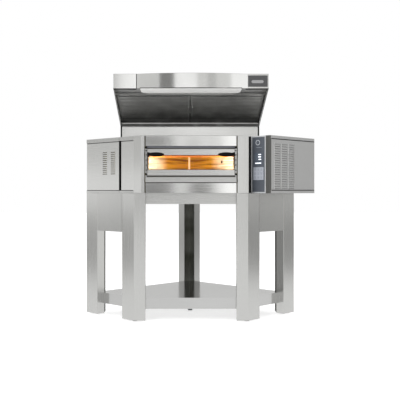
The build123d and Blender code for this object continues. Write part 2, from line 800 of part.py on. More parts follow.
def floor_tray():
    """The steel tray under the stone deck, with bearers across it."""
    tray = prism(chamber_plan(CHAMBER_WALL), FLOOR_TRAY, FLOOR_TRAY + SHEET)
    return tray


def stone_bearers():
    """Upright steel strips that carry the joints between the slabs, with windows for the lower elements."""
    top = STONE_TOP - STONE_THICK
    tube = FLOOR_TRAY + SHEET + LOWER_HEATER_UP
    room = HEATER_RADIUS + HEATER_CLEARANCE
    strips = []
    for x in (-STONE_SPLIT, 0.0, STONE_SPLIT):
        reach = FRONT_Y + BODY_REACH - CHAMBER_MARGIN - abs(x) - SUPPORT_WIDTH
        strip = bar(x - BEARER / 2, x + BEARER / 2, FRONT_Y + CHAMBER_FRONT + SUPPORT_WIDTH, reach,
                    FLOOR_TRAY + SHEET, top)
        for index in range(HEATER_COUNT):
            y0 = FRONT_Y + HEATER_FIRST + index * HEATER_STEP
            strip -= bar(x - BEARER, x + BEARER, y0 - room, y0 + HEATER_PITCH + room, tube - room,
                         tube + room)
        strips.append(strip.solids()[0])
    return Compound(children=strips)


def stone_deck():
    """The deck: refractory slabs cut to the chamber, side by side with narrow joints."""
    low = STONE_TOP - STONE_THICK
    deck = prism(chamber_plan(-FIT), low, STONE_TOP)
    for x in (-STONE_SPLIT, 0.0, STONE_SPLIT):
        deck -= bar(x - STONE_JOINT / 2, x + STONE_JOINT / 2, FRONT_Y, FRONT_Y + BODY_REACH, low - 1,
                    STONE_TOP + 1)
    across = FRONT_Y + (BODY_REACH - BODY_HALF) / 2.0
    deck -= bar(-BODY_REACH, BODY_REACH, across, across + STONE_JOINT, low - 1, STONE_TOP + 1)
    return Compound(children=list(deck.solids()))


def heating_elements(z, first, count, pitch):
    """Tubular elements: hairpins across the chamber, their ends at the left wall."""
    tubes = []
    for index in range(count):
        deep = first + index * pitch
        room = min(BODY_HALF + deep + HEATER_PITCH, BODY_REACH - deep - HEATER_PITCH) - CHAMBER_MARGIN
        room = min(room, BODY_HALF + deep - CHAMBER_MARGIN)
        end = room - 2.0 * HEATER_RADIUS - SUPPORT_WIDTH
        y0 = FRONT_Y + deep
        y1 = y0 + HEATER_PITCH
        radius = HEATER_PITCH / 2.0
        one = rod((-end, y0, z), (end - radius, y0, z), HEATER_RADIUS)
        two = rod((-end, y1, z), (end - radius, y1, z), HEATER_RADIUS)
        bend = Pos(end - radius, (y0 + y1) / 2.0, z) * Torus(radius, HEATER_RADIUS)
        bend &= bar(end - radius, end + radius, y0 - radius, y1 + radius, z - radius, z + radius)
        tubes.append((one + two + bend).solids()[0])
    return tubes


def element_clips(z, low, high, first, count, pitch):
    """Steel clips that carry each element's two legs."""
    clips = []
    for index in range(count):
        y0 = FRONT_Y + first + index * pitch
        for x in (-CLIP_AT, CLIP_AT):
            clip = bar(x - BEARER / 2, x + BEARER / 2, y0 - 2 * HEATER_RADIUS,
                       y0 + HEATER_PITCH + 2 * HEATER_RADIUS, low, high)
            for y in (y0, y0 + HEATER_PITCH):
                clip -= rod((x - BEARER, y, z), (x + BEARER, y, z), HEATER_RADIUS + RUNNING)
            clips.append(clip.solids()[0])
    return clips


def box_frame():
    """A frame for the control box: x backwards along the wall, y inwards, z up, from its front left edge."""
    return side_frame(BODY_HALF) * Pos(BOX_START, 0, STAND_TOP)


def face_frame():
    """A frame on the box's operator face: x to the right as seen, y up, z towards the operator."""
    return box_frame() * Plane(origin=(0, 0, 0), x_dir=(0, -1, 0), z_dir=(-1, 0, 0)).location


def box_shell():
    """The box's folded housing: top, bottom, rear end and wall side, open at its face and long side."""
    depth = BEZEL_DEPTH + BOX_SHEET
    outer = bar(depth, BOX_LENGTH, -BOX_WIDTH + BOX_SHEET, -FIT, 0, BODY_HEIGHT)
    room = bar(depth - SHEET, BOX_LENGTH - BOX_SHEET, -BOX_WIDTH, -FIT - BOX_SHEET, BOX_SHEET,
               BODY_HEIGHT - BOX_SHEET)
    top_rim = bar(depth, BOX_LENGTH, -BOX_WIDTH, -BOX_WIDTH + BOX_SHEET, BODY_HEIGHT - BOX_RIM, BODY_HEIGHT)
    low_rim = bar(depth, BOX_LENGTH, -BOX_WIDTH, -BOX_WIDTH + BOX_SHEET, 0, BOX_RIM)
    shell = outer - room + top_rim + low_rim
    gland = Plane(origin=(BOX_LENGTH, -BOX_WIDTH / 2, GLAND_UP), z_dir=(1, 0, 0)) * Cylinder(
        GLAND_NECK + RUNNING, 4 * BOX_SHEET)
    window = bar(2 * CABLE_WINDOW, 3 * CABLE_WINDOW, -4 * BOX_SHEET, BOX_SHEET,
                 BODY_HEIGHT - 2 * CABLE_WINDOW, BODY_HEIGHT - CABLE_WINDOW)
    return box_frame() * (shell - gland - window)


def louvre_lip(x0, y0, z):
    """One slanted lip, pressed out over its slot."""
    profile = Polyline((x0, y0, z), (x0, y0, z + LOUVRE_LIP), (x0, y0 - LOUVRE_PROUD, z - LOUVRE_SLOT / 2),
                       close=True)
    return extrude(make_face(profile), amount=LOUVRE_WIDTH, dir=(1, 0, 0))


def box_vent_side():
    """The box's long outer side, pressed with three columns of louvres."""
    z0 = BOX_RIM + SEAM
    z1 = BODY_HEIGHT - BOX_RIM - SEAM
    start = BOX_CORNER_DEPTH + FIT
    y0 = -BOX_WIDTH + SEAM
    side = bar(start, BOX_LENGTH, y0, y0 + BOX_SHEET - SEAM, z0, z1)
    slots = []
    lips = []
    for column in range(LOUVRE_COLUMNS):
        x0 = LOUVRE_FIRST + column * LOUVRE_COLUMN_PITCH
        for row in range(LOUVRE_ROWS):
            z = LOUVRE_LOW + row * LOUVRE_PITCH - STAND_TOP
            slots.append(bar(x0, x0 + LOUVRE_WIDTH, y0 - SHEET, y0 + BOX_SHEET, z, z + LOUVRE_SLOT))
            lips.append(louvre_lip(x0, y0, z + LOUVRE_SLOT))
    side = side.cut(*slots).fuse(*lips)
    return box_frame() * side


def corner_profile():
    """The dark rounded corner post between the operator face and the long side."""
    post = bar(0, BOX_CORNER_DEPTH, -BOX_WIDTH, -BOX_WIDTH + BOX_CORNER, SEAM, BODY_HEIGHT - SEAM)
    post = fillet(post.edges().filter_by(Axis.Z).group_by(Axis.X)[0].sort_by(Axis.Y)[0], CORNER_ROUND)
    notch = bar(BEZEL_DEPTH + BOX_SHEET - FIT, BOX_LENGTH, -BOX_WIDTH - SHEET, -BOX_WIDTH + BOX_CORNER + 1,
                -1, BODY_HEIGHT + 1)
    inner = bar(BEZEL_DEPTH + BOX_SHEET - FIT, BOX_CORNER_DEPTH, -BOX_WIDTH, -BOX_WIDTH + BOX_SHEET - FIT,
                BOX_RIM + SEAM, BODY_HEIGHT - BOX_RIM - SEAM)
    return box_frame() * ((post - notch) + inner)


def face_width():
    """Width of the framed operator face."""
    return BOX_WIDTH - BOX_CORNER - FIT


def bezel():
    """The bright aluminium frame round the operator face."""
    outer = bar(0, face_width(), SEAM, BODY_HEIGHT - SEAM, -BEZEL_DEPTH, 0)
    inner = bar(BEZEL_BAR, face_width() - BEZEL_BAR, BEZEL_BAR, BODY_HEIGHT - BEZEL_BAR, -2 * BEZEL_DEPTH, 1)
    frame = outer - inner
    frame = chamfer(frame.edges().group_by(Axis.Z)[-1], 1.0)
    return face_frame() * frame


def panel_y(height):
    """Height over the floor as a height on the operator face."""
    return height - STAND_TOP


def ring_place():
    """Centre of the ring button on the operator face."""
    return BEZEL_BAR + RING_ACROSS, panel_y(RING_Z)


def control_panel():
    """The dark plate inside the frame, with seats for button, display and key field."""
    x0 = BEZEL_BAR + FIT
    x1 = face_width() - BEZEL_BAR - FIT
    low = BEZEL_BAR + FIT
    high = BODY_HEIGHT - BEZEL_BAR - FIT
    top = -PANEL_INSET
    plate = bar(x0, x1, low, high, top - PANEL_THICK, top)
    cx, cy = ring_place()
    plate -= Pos(cx, cy, top) * Cylinder(RING_RADIUS + RING_CLEARANCE, 4 * PANEL_THICK)
    middle = face_width() / 2.0
    for width, height, upper in ((DISPLAY_WIDTH, DISPLAY_HEIGHT, DISPLAY_TOP),
                                 (KEYPAD_WIDTH, KEYPAD_HEIGHT, KEYPAD_TOP)):
        y1 = panel_y(upper)
        plate -= bar(middle - width / 2, middle + width / 2, y1 - height, y1, top - FIELD_DEPTH, top + 1)
    bore = RING_RADIUS + RING_CLEARANCE
    guide = Cylinder(bore + SHEET, RING_BACK) - Cylinder(bore, RING_BACK)
    return face_frame() * (plate + Pos(cx, cy, top - PANEL_THICK - RING_BACK / 2) * guide)


def face_field(width, height, upper):
    """A thin plate let into the control panel."""
    middle = face_width() / 2.0
    y1 = panel_y(upper)
    top = -PANEL_INSET
    plate = bar(middle - width / 2 + FIT, middle + width / 2 - FIT, y1 - height + FIT, y1 - FIT,
                top - FIELD_DEPTH, top + FIELD_PROUD)
    return face_frame() * plate


def ring_button():
    """The round push button with a raised ring round its dished middle."""
    cx, cy = ring_place()
    top = -PANEL_INSET + RING_PROUD
    back = -PANEL_INSET - PANEL_THICK - RING_BACK + RING_TRAVEL + FIT
    body = Pos(cx, cy, (top + back) / 2.0) * Cylinder(RING_RADIUS, top - back)
    dish = Pos(cx, cy, top) * Cylinder(RING_RADIUS - RING_SIDE, 2.0)
    return face_frame() * (body - dish)


def switch_block():
    """The contact block behind the ring button, which stops its travel."""
    cx, cy = ring_place()
    front = -PANEL_INSET - PANEL_THICK - RING_BACK
    side = 2 * RING_RADIUS + 3 * SHEET
    return face_frame() * Pos(cx, cy, front - SWITCH_BLOCK / 2.0) * Box(side, side, SWITCH_BLOCK)


def electronics():
    """The mounting plate in the control box, with the rail for the relays."""
    y1 = -FIT - BOX_SHEET
    y0 = y1 - MOUNT_PLATE
    plate = bar(MOUNT_START, BOX_LENGTH - 2 * CABLE_WINDOW, y0, y1, 2 * BOX_RIM, BODY_HEIGHT - 2 * BOX_RIM)
    plate -= bar(2 * CABLE_WINDOW, 3 * CABLE_WINDOW, y0 - 1, y1 + 1, BODY_HEIGHT - 2 * CABLE_WINDOW,
                 BODY_HEIGHT - CABLE_WINDOW)
    rail = bar(RAIL_START, RAIL_END, y0 - RAIL_DEPTH, y0, RELAY_Z - RAIL_WIDTH / 2, RELAY_Z + RAIL_WIDTH / 2)
    return box_frame() * (plate + rail)


def relays():
    """Power relays side by side on the rail."""
    y1 = -FIT - BOX_SHEET - MOUNT_PLATE - RAIL_DEPTH
    half = RELAY_HEIGHT / 2.0
    blocks = []
    for index in range(RELAY_COUNT):
        x0 = RELAY_START + index * (RELAY_WIDTH + RELAY_GAP)
        relay = bar(x0, x0 + RELAY_WIDTH, y1 - RELAY_DEPTH, y1, RELAY_Z - half, RELAY_Z + half)
        relay = chamfer(relay.edges().group_by(Axis.Y)[0], RELAY_EDGE)
        blocks.append(relay.solids()[0])
    return box_frame() * Compound(children=blocks)


def terminal_block():
    """The supply terminals, on the mounting plate close to the cable gland."""
    y1 = -FIT - BOX_SHEET - MOUNT_PLATE
    y0 = y1 - TERMINAL_DEPTH
    length = TERMINAL_COUNT * TERMINAL_PITCH
    block = bar(TERMINAL_START, TERMINAL_START + length, y0, y1, TERMINAL_Z, TERMINAL_Z + TERMINAL_HEIGHT)
    across, deep, high = TERMINAL_POCKET
    low = TERMINAL_Z + (TERMINAL_HEIGHT - high) / 2.0
    for index in range(TERMINAL_COUNT):
        x = TERMINAL_START + index * TERMINAL_PITCH + (TERMINAL_PITCH - across) / 2.0
        block -= bar(x, x + across, y0 - 1.0, y0 + deep, low, low + high)
    return box_frame() * block


def fan_place():
    """A frame on the fan's axis: z towards the long side."""
    x = LOUVRE_FIRST + LOUVRE_COLUMN_PITCH + LOUVRE_WIDTH / 2.0
    y = -BOX_WIDTH + BOX_SHEET + FIT + FAN_GAP
    return box_frame() * Plane(origin=(x, y, FAN_UP), z_dir=(0, -1, 0)).location


def fan_frame():
    """The cooling fan's square frame with its hub seat and three struts."""
    half = FAN_SIZE / 2.0
    back = -FAN_DEPTH + FAN_WEB / 2.0
    frame = Pos(0, 0, -FAN_DEPTH / 2.0) * Box(FAN_SIZE, FAN_SIZE, FAN_DEPTH)
    frame -= Pos(0, 0, -FAN_DEPTH / 2.0) * Cylinder(half - FAN_WEB, FAN_DEPTH + 1)
    seat = Pos(0, 0, back) * Cylinder(FAN_HUB, FAN_WEB)
    for turn in range(3):
        seat += Rot(0, 0, 120 * turn) * Pos(half / 2.0, 0, back) * Box(half, FAN_STRUT, FAN_WEB)
    corner = half - FAN_CORNER
    feet = Locations(*[(x, y, FAN_GAP / 2.0) for x in (-corner, corner) for y in (-corner, corner)])
    spacers = [place * Cylinder(FAN_SPACER, FAN_GAP) for place in feet.locations]
    pin = Pos(0, 0, -FAN_DEPTH + FAN_WEB + FAN_PIN_LENGTH / 2.0) * Cylinder(FAN_PIN, FAN_PIN_LENGTH)
    return fan_place() * (frame + seat + spacers + pin)


def fan_rotor():
    """The cooling fan's hub and pitched blades, turning on the frame's pin."""
    rotor = Pos(0, 0, -FAN_DEPTH + FAN_WEB + FIT + FAN_HUB_HEIGHT / 2.0) * Cylinder(FAN_HUB, FAN_HUB_HEIGHT)
    reach = FAN_SIZE / 2.0 - FAN_WEB - SHEET
    root = FAN_HUB - SHEET
    blade = Rot(BLADE_PITCH, 0, 0) * Box(reach - root, BLADE_CHORD, BLADE_THICK)
    blade = Pos((root + reach) / 2.0, 0, -FAN_DEPTH / 2.0) * blade
    for turn in range(FAN_BLADES):
        rotor += Rot(0, 0, 360.0 / FAN_BLADES * turn) * blade
    rotor -= Pos(0, 0, -FAN_DEPTH + FAN_WEB + FAN_PIN_LENGTH / 2.0) * Cylinder(
        FAN_PIN + RUNNING, FAN_PIN_LENGTH + 1)
    return fan_place() * rotor


def cable_gland():
    """The gland in the box's rear end for the supply cable, which is left out."""
    neck = Cylinder(GLAND_NECK, 3 * BOX_SHEET)
    nut = Pos(0, 0, 1.5 * BOX_SHEET) * extrude(RegularPolygon(GLAND_RADIUS, 6), amount=GLAND_LENGTH / 2)
    dome = Pos(0, 0, 1.5 * BOX_SHEET + GLAND_LENGTH / 2 + GLAND_LENGTH / 6) * Cylinder(GLAND_RADIUS * 0.8,
                                                                                      GLAND_LENGTH / 3)
    body = neck + nut + dome - Cylinder(GLAND_BORE, 8 * GLAND_LENGTH)
    place = box_frame() * Plane(origin=(BOX_LENGTH + FIT - 1.5 * BOX_SHEET, -BOX_WIDTH / 2, GLAND_UP),
                                z_dir=(1, 0, 0)).location
    return place * body


def band_line(inset, back):
    """The front band's line in plan: a flat return, the bulging arc, and a return again."""
    left = -BAND_LEFT + inset
    right = BAND_RIGHT - inset
    middle = (BAND_RIGHT - BAND_LEFT) / 2.0
    y = FRONT_Y + inset
    arc = ThreePointArc((left, y, 0), (middle, FRONT_Y - BAND_BULGE + inset, 0), (right, y, 0))
    return [Line((left, y + back, 0), (left, y, 0)), arc, Line((right, y, 0), (right, y + back, 0))]


def front_band():
    """The curved stainless band across the hood's front, folded back at its ends and lower edge."""
    outline = Wire(band_line(0.0, 2 * BAND_LIP)).offset_2d(HOOD_SHEET, side=Side.LEFT)
    height = HOOD_TOP - HOOD_SHEET - HOOD_BOTTOM
    band = Pos(0, 0, HOOD_BOTTOM) * extrude(Face(outline), amount=height, dir=(0, 0, 1))
    lip = Pos(0, 0, HOOD_BOTTOM) * extrude(Face(Wire(band_line(HOOD_SHEET / 2, 0.5)).offset_2d(
        BAND_LIP, side=Side.LEFT)), amount=HOOD_SHEET, dir=(0, 0, 1))
    return band + lip


def hood_facet(x0, x1):
    """A flat front piece beside the curved band, folded back at its inner end and lower edge."""
    y0 = FRONT_Y
    top = HOOD_TOP - HOOD_SHEET
    inner = x0 if abs(x0) < abs(x1) else x1 - HOOD_SHEET
    facet = bar(x0, x1, y0, y0 + HOOD_SHEET, HOOD_BOTTOM, top)
    wall = HOOD_HALF - HOOD_SHEET - FIT
    facet += bar(max(x0, -wall), min(x1, wall), y0, y0 + BAND_LIP, HOOD_BOTTOM, HOOD_BOTTOM + HOOD_SHEET)
    facet += bar(inner, inner + HOOD_SHEET, y0, y0 + BAND_LIP, HOOD_BOTTOM, top)
    return facet


def facet_left():
    """The plain left facet, a dark joint away from the band."""
    return hood_facet(-HOOD_HALF, -BAND_LEFT - BAND_GAP)


def facet_right():
    """The right facet, with the room for the switch."""
    facet = hood_facet(BAND_RIGHT + FIT, HOOD_HALF)
    return facet - switch_pill(SWITCH_CLEARANCE, FRONT_Y - 2 * HOOD_SHEET, FRONT_Y + 2 * HOOD_SHEET)


def switch_pill(extra, y0, y1):
    """The switch's rounded shape, as a body or as a room for it."""
    pill = extrude(SlotOverall(SWITCH_WIDTH + 2 * extra, SWITCH_HEIGHT + 2 * extra), amount=y1 - y0)
    return Plane(origin=(SWITCH_X, y1, SWITCH_Z), x_dir=(1, 0, 0), z_dir=(0, -1, 0)).location * pill


def switch_plate():
    """The dark plate on the right facet."""
    plate = bar(PLATE_LEFT, PLATE_RIGHT, FRONT_Y - PLATE_THICK, FRONT_Y, PLATE_LOW, PLATE_HIGH)
    plate = fillet(plate.edges().filter_by(Axis.Y), 3.0)
    return plate - switch_pill(SWITCH_CLEARANCE, FRONT_Y - 2 * PLATE_THICK, FRONT_Y + PLATE_THICK)


def hood_switch():
    """The long rounded push bar that switches lamp and blower."""
    front = FRONT_Y - PLATE_THICK - SWITCH_PROUD
    body = switch_pill(0.0, front, front + SWITCH_BODY)
    return fillet(body.edges().group_by(Axis.Y)[0], 1.5)


def hood_switch_block():
    """The contact block behind the push bar, fixed to the back of the facet."""
    front = FRONT_Y - PLATE_THICK - SWITCH_PROUD + SWITCH_BODY + SWITCH_TRAVEL + FIT
    block = bar(SWITCH_X - SWITCH_WIDTH / 2 - BAND_LIP / 2, SWITCH_X + SWITCH_WIDTH / 2 + BAND_LIP / 2,
                FRONT_Y + HOOD_SHEET, front + BAND_LIP, SWITCH_Z - SWITCH_HEIGHT, SWITCH_Z + SWITCH_HEIGHT)
    return block - switch_pill(2 * SWITCH_CLEARANCE, FRONT_Y, front)


def hood_side():
    """A side wall of the hood: shallow in front, deep behind, its sloping edge folded inwards."""
    top = HOOD_TOP - HOOD_SHEET
    outline = [
        (FRONT_Y + HOOD_SHEET, top),
        (FRONT_Y + HOOD_SHEET, HOOD_BOTTOM),
        (FRONT_Y + HOOD_DEPTH, HOOD_REAR_BOTTOM),
        (FRONT_Y + HOOD_DEPTH + RISER_DEPTH, HOOD_REAR_BOTTOM),
        (FRONT_Y + HOOD_DEPTH + RISER_DEPTH, top),
    ]
    face = make_face(Polyline([(HOOD_HALF, y, z) for y, z in outline], close=True))
    wall = extrude(face, amount=HOOD_SHEET, dir=(-1, 0, 0))
    slope = atan2(HOOD_BOTTOM - HOOD_REAR_BOTTOM, HOOD_DEPTH - HOOD_SHEET)
    length = (HOOD_DEPTH - GUTTER_DEPTH - 3 * HOOD_SHEET) / cos(slope)
    edge = Plane(origin=(HOOD_HALF, FRONT_Y + HOOD_SHEET, HOOD_BOTTOM), x_dir=(-1, 0, 0),
                 z_dir=(0, -sin(slope), -cos(slope))).location
    lip = edge * bar(0, HOOD_LIP, BAND_LIP, length, -HOOD_SHEET, 0)
    return wall + lip


def hood_roof():
    """The hood's top sheet, curved in front like the band, with the exhaust hole."""
    z = HOOD_TOP - HOOD_SHEET
    flat = bar(-HOOD_HALF, HOOD_HALF, FRONT_Y, FRONT_Y + HOOD_DEPTH + RISER_DEPTH, z, HOOD_TOP)
    middle = (BAND_RIGHT - BAND_LEFT) / 2.0
    arc = ThreePointArc((-BAND_LEFT, FRONT_Y, z), (middle, FRONT_Y - BAND_BULGE, z), (BAND_RIGHT, FRONT_Y, z))
    chord = Line((BAND_RIGHT, FRONT_Y, z), (-BAND_LEFT, FRONT_Y, z))
    nose = extrude(make_face([arc, chord]), amount=HOOD_SHEET, dir=(0, 0, 1))
    hole = Pos(0, FRONT_Y + COLLAR_DEPTH, z) * Cylinder(COLLAR_RADIUS + COLLAR_WALL + RUNNING, 8 * HOOD_SHEET)
    return flat + nose - hole


def hood_rear():
    """The hood's rear wall."""
    y1 = FRONT_Y + HOOD_DEPTH + RISER_DEPTH
    half = HOOD_HALF - HOOD_SHEET
    return bar(-half, half, y1 - HOOD_SHEET, y1, HOOD_REAR_BOTTOM, HOOD_TOP - HOOD_SHEET)


def riser():
    """The flat duct that stands on the oven's roof, carries the hood and takes the steam up into it."""
    y0 = FRONT_Y + HOOD_DEPTH
    y1 = y0 + RISER_DEPTH
    outer = bar(-HOOD_HALF, HOOD_HALF, y0, y1, ROOF_Z, HOOD_REAR_BOTTOM)
    room = bar(-HOOD_HALF + HOOD_SHEET, HOOD_HALF - HOOD_SHEET, y0 + HOOD_SHEET, y1 - HOOD_SHEET, ROOF_Z - 1,
               HOOD_REAR_BOTTOM + 1)
    return outer - room


def lamp_shelf():
    """The flat underside behind the band, which carries the lamp."""
    z = HOOD_BOTTOM + HOOD_SHEET
    half = HOOD_HALF - HOOD_SHEET
    y1 = FRONT_Y + LAMP_SHELF_DEPTH
    shelf_plate = bar(-half, half, FRONT_Y + HOOD_SHEET, y1, z, z + HOOD_SHEET)
    shelf_plate += bar(-half, half, y1 - HOOD_SHEET, y1, z, z + 2 * BAND_LIP)
    middle = (BAND_RIGHT - BAND_LEFT) / 2.0
    inset = 2 * HOOD_SHEET
    arc = ThreePointArc((-BAND_LEFT + inset, FRONT_Y + inset, z), (middle, FRONT_Y - BAND_BULGE + inset, z),
                        (BAND_RIGHT - inset, FRONT_Y + inset, z))
    chord = Line((BAND_RIGHT - inset, FRONT_Y + inset, z), (-BAND_LEFT + inset, FRONT_Y + inset, z))
    plate = shelf_plate + extrude(make_face([arc, chord]), amount=HOOD_SHEET, dir=(0, 0, 1))
    back = FRONT_Y + 2 * BAND_LIP + FIT
    for x0, x1 in ((-BAND_LEFT - BAND_GAP, -BAND_LEFT), (BAND_RIGHT, BAND_RIGHT + FIT)):
        plate -= bar(x0 - HOOD_SHEET - FIT, x1 + HOOD_SHEET + FIT, FRONT_Y, back, z - 1, z + HOOD_SHEET + 1)
    return plate


def lamp_diffuser():
    """The pale lamp cover under the band: curved in front, straight with round corners behind."""
    z = HOOD_BOTTOM - DIFFUSER_THICK
    y0 = FRONT_Y + 3 * BAND_LIP / 2
    y1 = FRONT_Y + LAMP_SHELF_DEPTH - SHEET
    arc = ThreePointArc((-LAMP_HALF, y0, z), (0, y0 - BAND_BULGE, z), (LAMP_HALF, y0, z))
    sides = FilletPolyline((LAMP_HALF, y0, z), (LAMP_HALF, y1, z), (-LAMP_HALF, y1, z), (-LAMP_HALF, y0, z),
                           radius=LAMP_CORNER)
    pane = extrude(make_face([arc] + list(sides.edges())), amount=DIFFUSER_THICK + HOOD_SHEET, dir=(0, 0, 1))
    lips = bar(-HOOD_HALF, HOOD_HALF, FRONT_Y - 2 * BAND_BULGE, y0 - BAND_BULGE / 2, HOOD_BOTTOM, HOOD_TOP)
    return pane - front_band() - lips


def filter_frame_place():
    """A frame on the filters' plane: x to the right, y up the slope towards the front, z out of the hood."""
    slope = radians(FILTER_SLOPE)
    origin = (0, FRONT_Y + FILTER_LOW_DEPTH, FILTER_LOW_Z)
    return Plane(origin=origin, x_dir=(1, 0, 0), z_dir=(0, -sin(slope), -cos(slope))).location


def grease_filter():
    """The right baffle filter: a channel frame round two layers of slats."""
    x0 = FILTER_GAP
    x1 = HOOD_HALF - HOOD_SHEET - HOOD_LIP / 2
    outer = bar(x0, x1, 0, FILTER_LENGTH, -FILTER_THICK, 0)
    inner = bar(x0 + FILTER_FRAME, x1 - FILTER_FRAME, FILTER_FRAME, FILTER_LENGTH - FILTER_FRAME,
                -FILTER_THICK - 1, 1)
    panel = outer - inner
    count = int((FILTER_LENGTH - 2 * FILTER_FRAME) / BAFFLE_PITCH)
    for row in range(count):
        y = FILTER_FRAME + (row + 0.25) * BAFFLE_PITCH
        panel += bar(x0 + 1, x1 - 1, y, y + BAFFLE_WIDTH, -2 * FILTER_SHEET, -FILTER_SHEET)
        y += BAFFLE_PITCH / 2.0
        low = -FILTER_THICK + FILTER_SHEET
        panel += bar(x0 + 1, x1 - 1, y, y + BAFFLE_WIDTH, low, low + FILTER_SHEET)
    return panel


def filter_handle():
    """A small wire handle on a filter's frame, beside the joint between the filters."""
    middle = FILTER_LENGTH * 0.52
    low = middle - HANDLE_REACH / 2.0
    high = middle + HANDLE_REACH / 2.0
    path = FilletPolyline((HANDLE_OFFSET, low, 0), (HANDLE_OFFSET, low, HANDLE_RISE),
                          (HANDLE_OFFSET, high, HANDLE_RISE), (HANDLE_OFFSET, high, 0),
                          radius=2.5 * HANDLE_BAR)
    section = Plane(origin=(HANDLE_OFFSET, low, 0), z_dir=(0, 0, 1)) * Circle(HANDLE_BAR)
    return sweep(section, path=Wire(path.edges()))


def filter_channel():
    """The upper channel that the filters slide up into."""
    half = HOOD_HALF - HOOD_SHEET - FIT
    y0 = FILTER_LENGTH - FILTER_GRIP
    y1 = FILTER_LENGTH + FILTER_LIFT + 2 * FIT
    outer = bar(-half, half, y0, y1 + HOOD_SHEET, -FILTER_THICK - FIT - HOOD_SHEET, FIT + HOOD_SHEET)
    slot = bar(-half - 1, half + 1, y0 - 1, y1, -FILTER_THICK - FIT, FIT)
    return filter_frame_place() * (outer - slot)


def grease_gutter():
    """The trough along the filters' lower edge, with the drained ledge that the filters rest on."""
    half = HOOD_HALF - HOOD_SHEET - FIT
    y1 = FRONT_Y + HOOD_DEPTH
    y0 = y1 - GUTTER_DEPTH
    z0 = HOOD_REAR_BOTTOM
    outer = bar(-half, half, y0, y1, z0, z0 + GUTTER_HEIGHT)
    room = bar(-half + HOOD_SHEET, half - HOOD_SHEET, y0 + HOOD_SHEET, y1 - HOOD_SHEET, z0 + HOOD_SHEET,
               z0 + 2 * GUTTER_HEIGHT)
    rear = bar(-half, half, y1 - HOOD_SHEET, y1, z0, FILTER_LOW_Z + 2 * FILTER_THICK)
    slope = radians(FILTER_SLOPE)
    front_reach = (FILTER_LOW_DEPTH - HOOD_DEPTH + GUTTER_DEPTH - HOOD_SHEET / 2) / sin(slope)
    back_reach = (HOOD_DEPTH - FILTER_LOW_DEPTH - HOOD_SHEET / 2) / sin(slope)
    ledge = filter_frame_place() * bar(-half, half, -HOOD_SHEET, 0, -back_reach, front_reach)
    pitch = 2 * half / GUTTER_DRAINS
    for index in range(GUTTER_DRAINS):
        x = -half + (index + 0.5) * pitch
        ledge -= filter_frame_place() * bar(x - pitch / 4, x + pitch / 4, -2 * HOOD_SHEET, HOOD_SHEET,
                                            -0.8 * FILTER_THICK, -0.2 * FILTER_THICK)
    return (outer - room) + rear + ledge


def exhaust_collar():
    """The round spigot on the hood's roof that a duct pushes onto."""
    x, y = 0, FRONT_Y + COLLAR_DEPTH
    low = HOOD_TOP - HOOD_SHEET
    outer = COLLAR_RADIUS + COLLAR_WALL
    tube = Pos(x, y, (low + HOOD_TOP + COLLAR_HEIGHT) / 2) * Cylinder(outer, HOOD_TOP + COLLAR_HEIGHT - low)
    flange = Pos(x, y, HOOD_TOP + HOOD_SHEET / 2) * Cylinder(outer + BAND_LIP, HOOD_SHEET)
    return tube + flange - Pos(x, y, HOOD_TOP) * Cylinder(COLLAR_RADIUS, 4 * COLLAR_HEIGHT)


def blower_place():
    """A frame on the blower's shaft: z along the shaft, to the right."""
    return Plane(origin=(0, FRONT_Y + COLLAR_DEPTH, BLOWER_Z), x_dir=(0, 1, 0), z_dir=(1, 0, 0)).location


def blower_shape(radius, half, top):
    """The outside or inside of the blower's casing: a drum with its outlet upwards."""
    drum = Cylinder(radius, 2 * half)
    outlet = bar(-radius, radius, 0, top, -half, half)
    return drum + outlet


def blower_housing():
    """The blower's sheet casing, with an inlet at each side and its outlet under the collar."""
    top = HOOD_TOP - HOOD_SHEET - FIT - BLOWER_Z
    half = BLOWER_WIDTH / 2.0
    casing = blower_shape(BLOWER_RADIUS, half, top)
    casing -= blower_shape(BLOWER_RADIUS - SHEET, half - SHEET, top + 1)
    casing -= Cylinder(WHEEL_RADIUS * 0.75, 2 * BLOWER_WIDTH)
    arms = None
    for turn in range(3):
        arm = bar(SHAFT_RADIUS + HUB_WALL / 2, WHEEL_RADIUS, -SPIDER_ARM / 2, SPIDER_ARM / 2, half - SHEET,
                  half + SHEET)
        arm = Rot(0, 0, 90 + 120 * turn) * arm
        arms = arm if arms is None else arms + arm
    ring = Cylinder(SHAFT_RADIUS + HUB_WALL, 2 * SHEET) - Cylinder(SHAFT_RADIUS + HUB_WALL / 4, 4 * SHEET)
    ring = Pos(0, 0, half) * ring
    return blower_place() * (casing + arms + ring)


def blower_motor():
    """The blower's motor on the casing's right-hand spider, with the shaft's bearing bore through it."""
    half = BLOWER_WIDTH / 2.0
    body = Pos(0, 0, half + SHEET + MOTOR_LENGTH / 2.0) * Cylinder(MOTOR_RADIUS, MOTOR_LENGTH)
    body = fillet(body.edges().sort_by(Axis.Z)[-1], MOTOR_EDGE)
    body -= Pos(0, 0, half + SHEET + MOTOR_LENGTH / 2.0) * Cylinder(SHAFT_RADIUS + RUNNING, 2 * MOTOR_LENGTH)
    return blower_place() * body


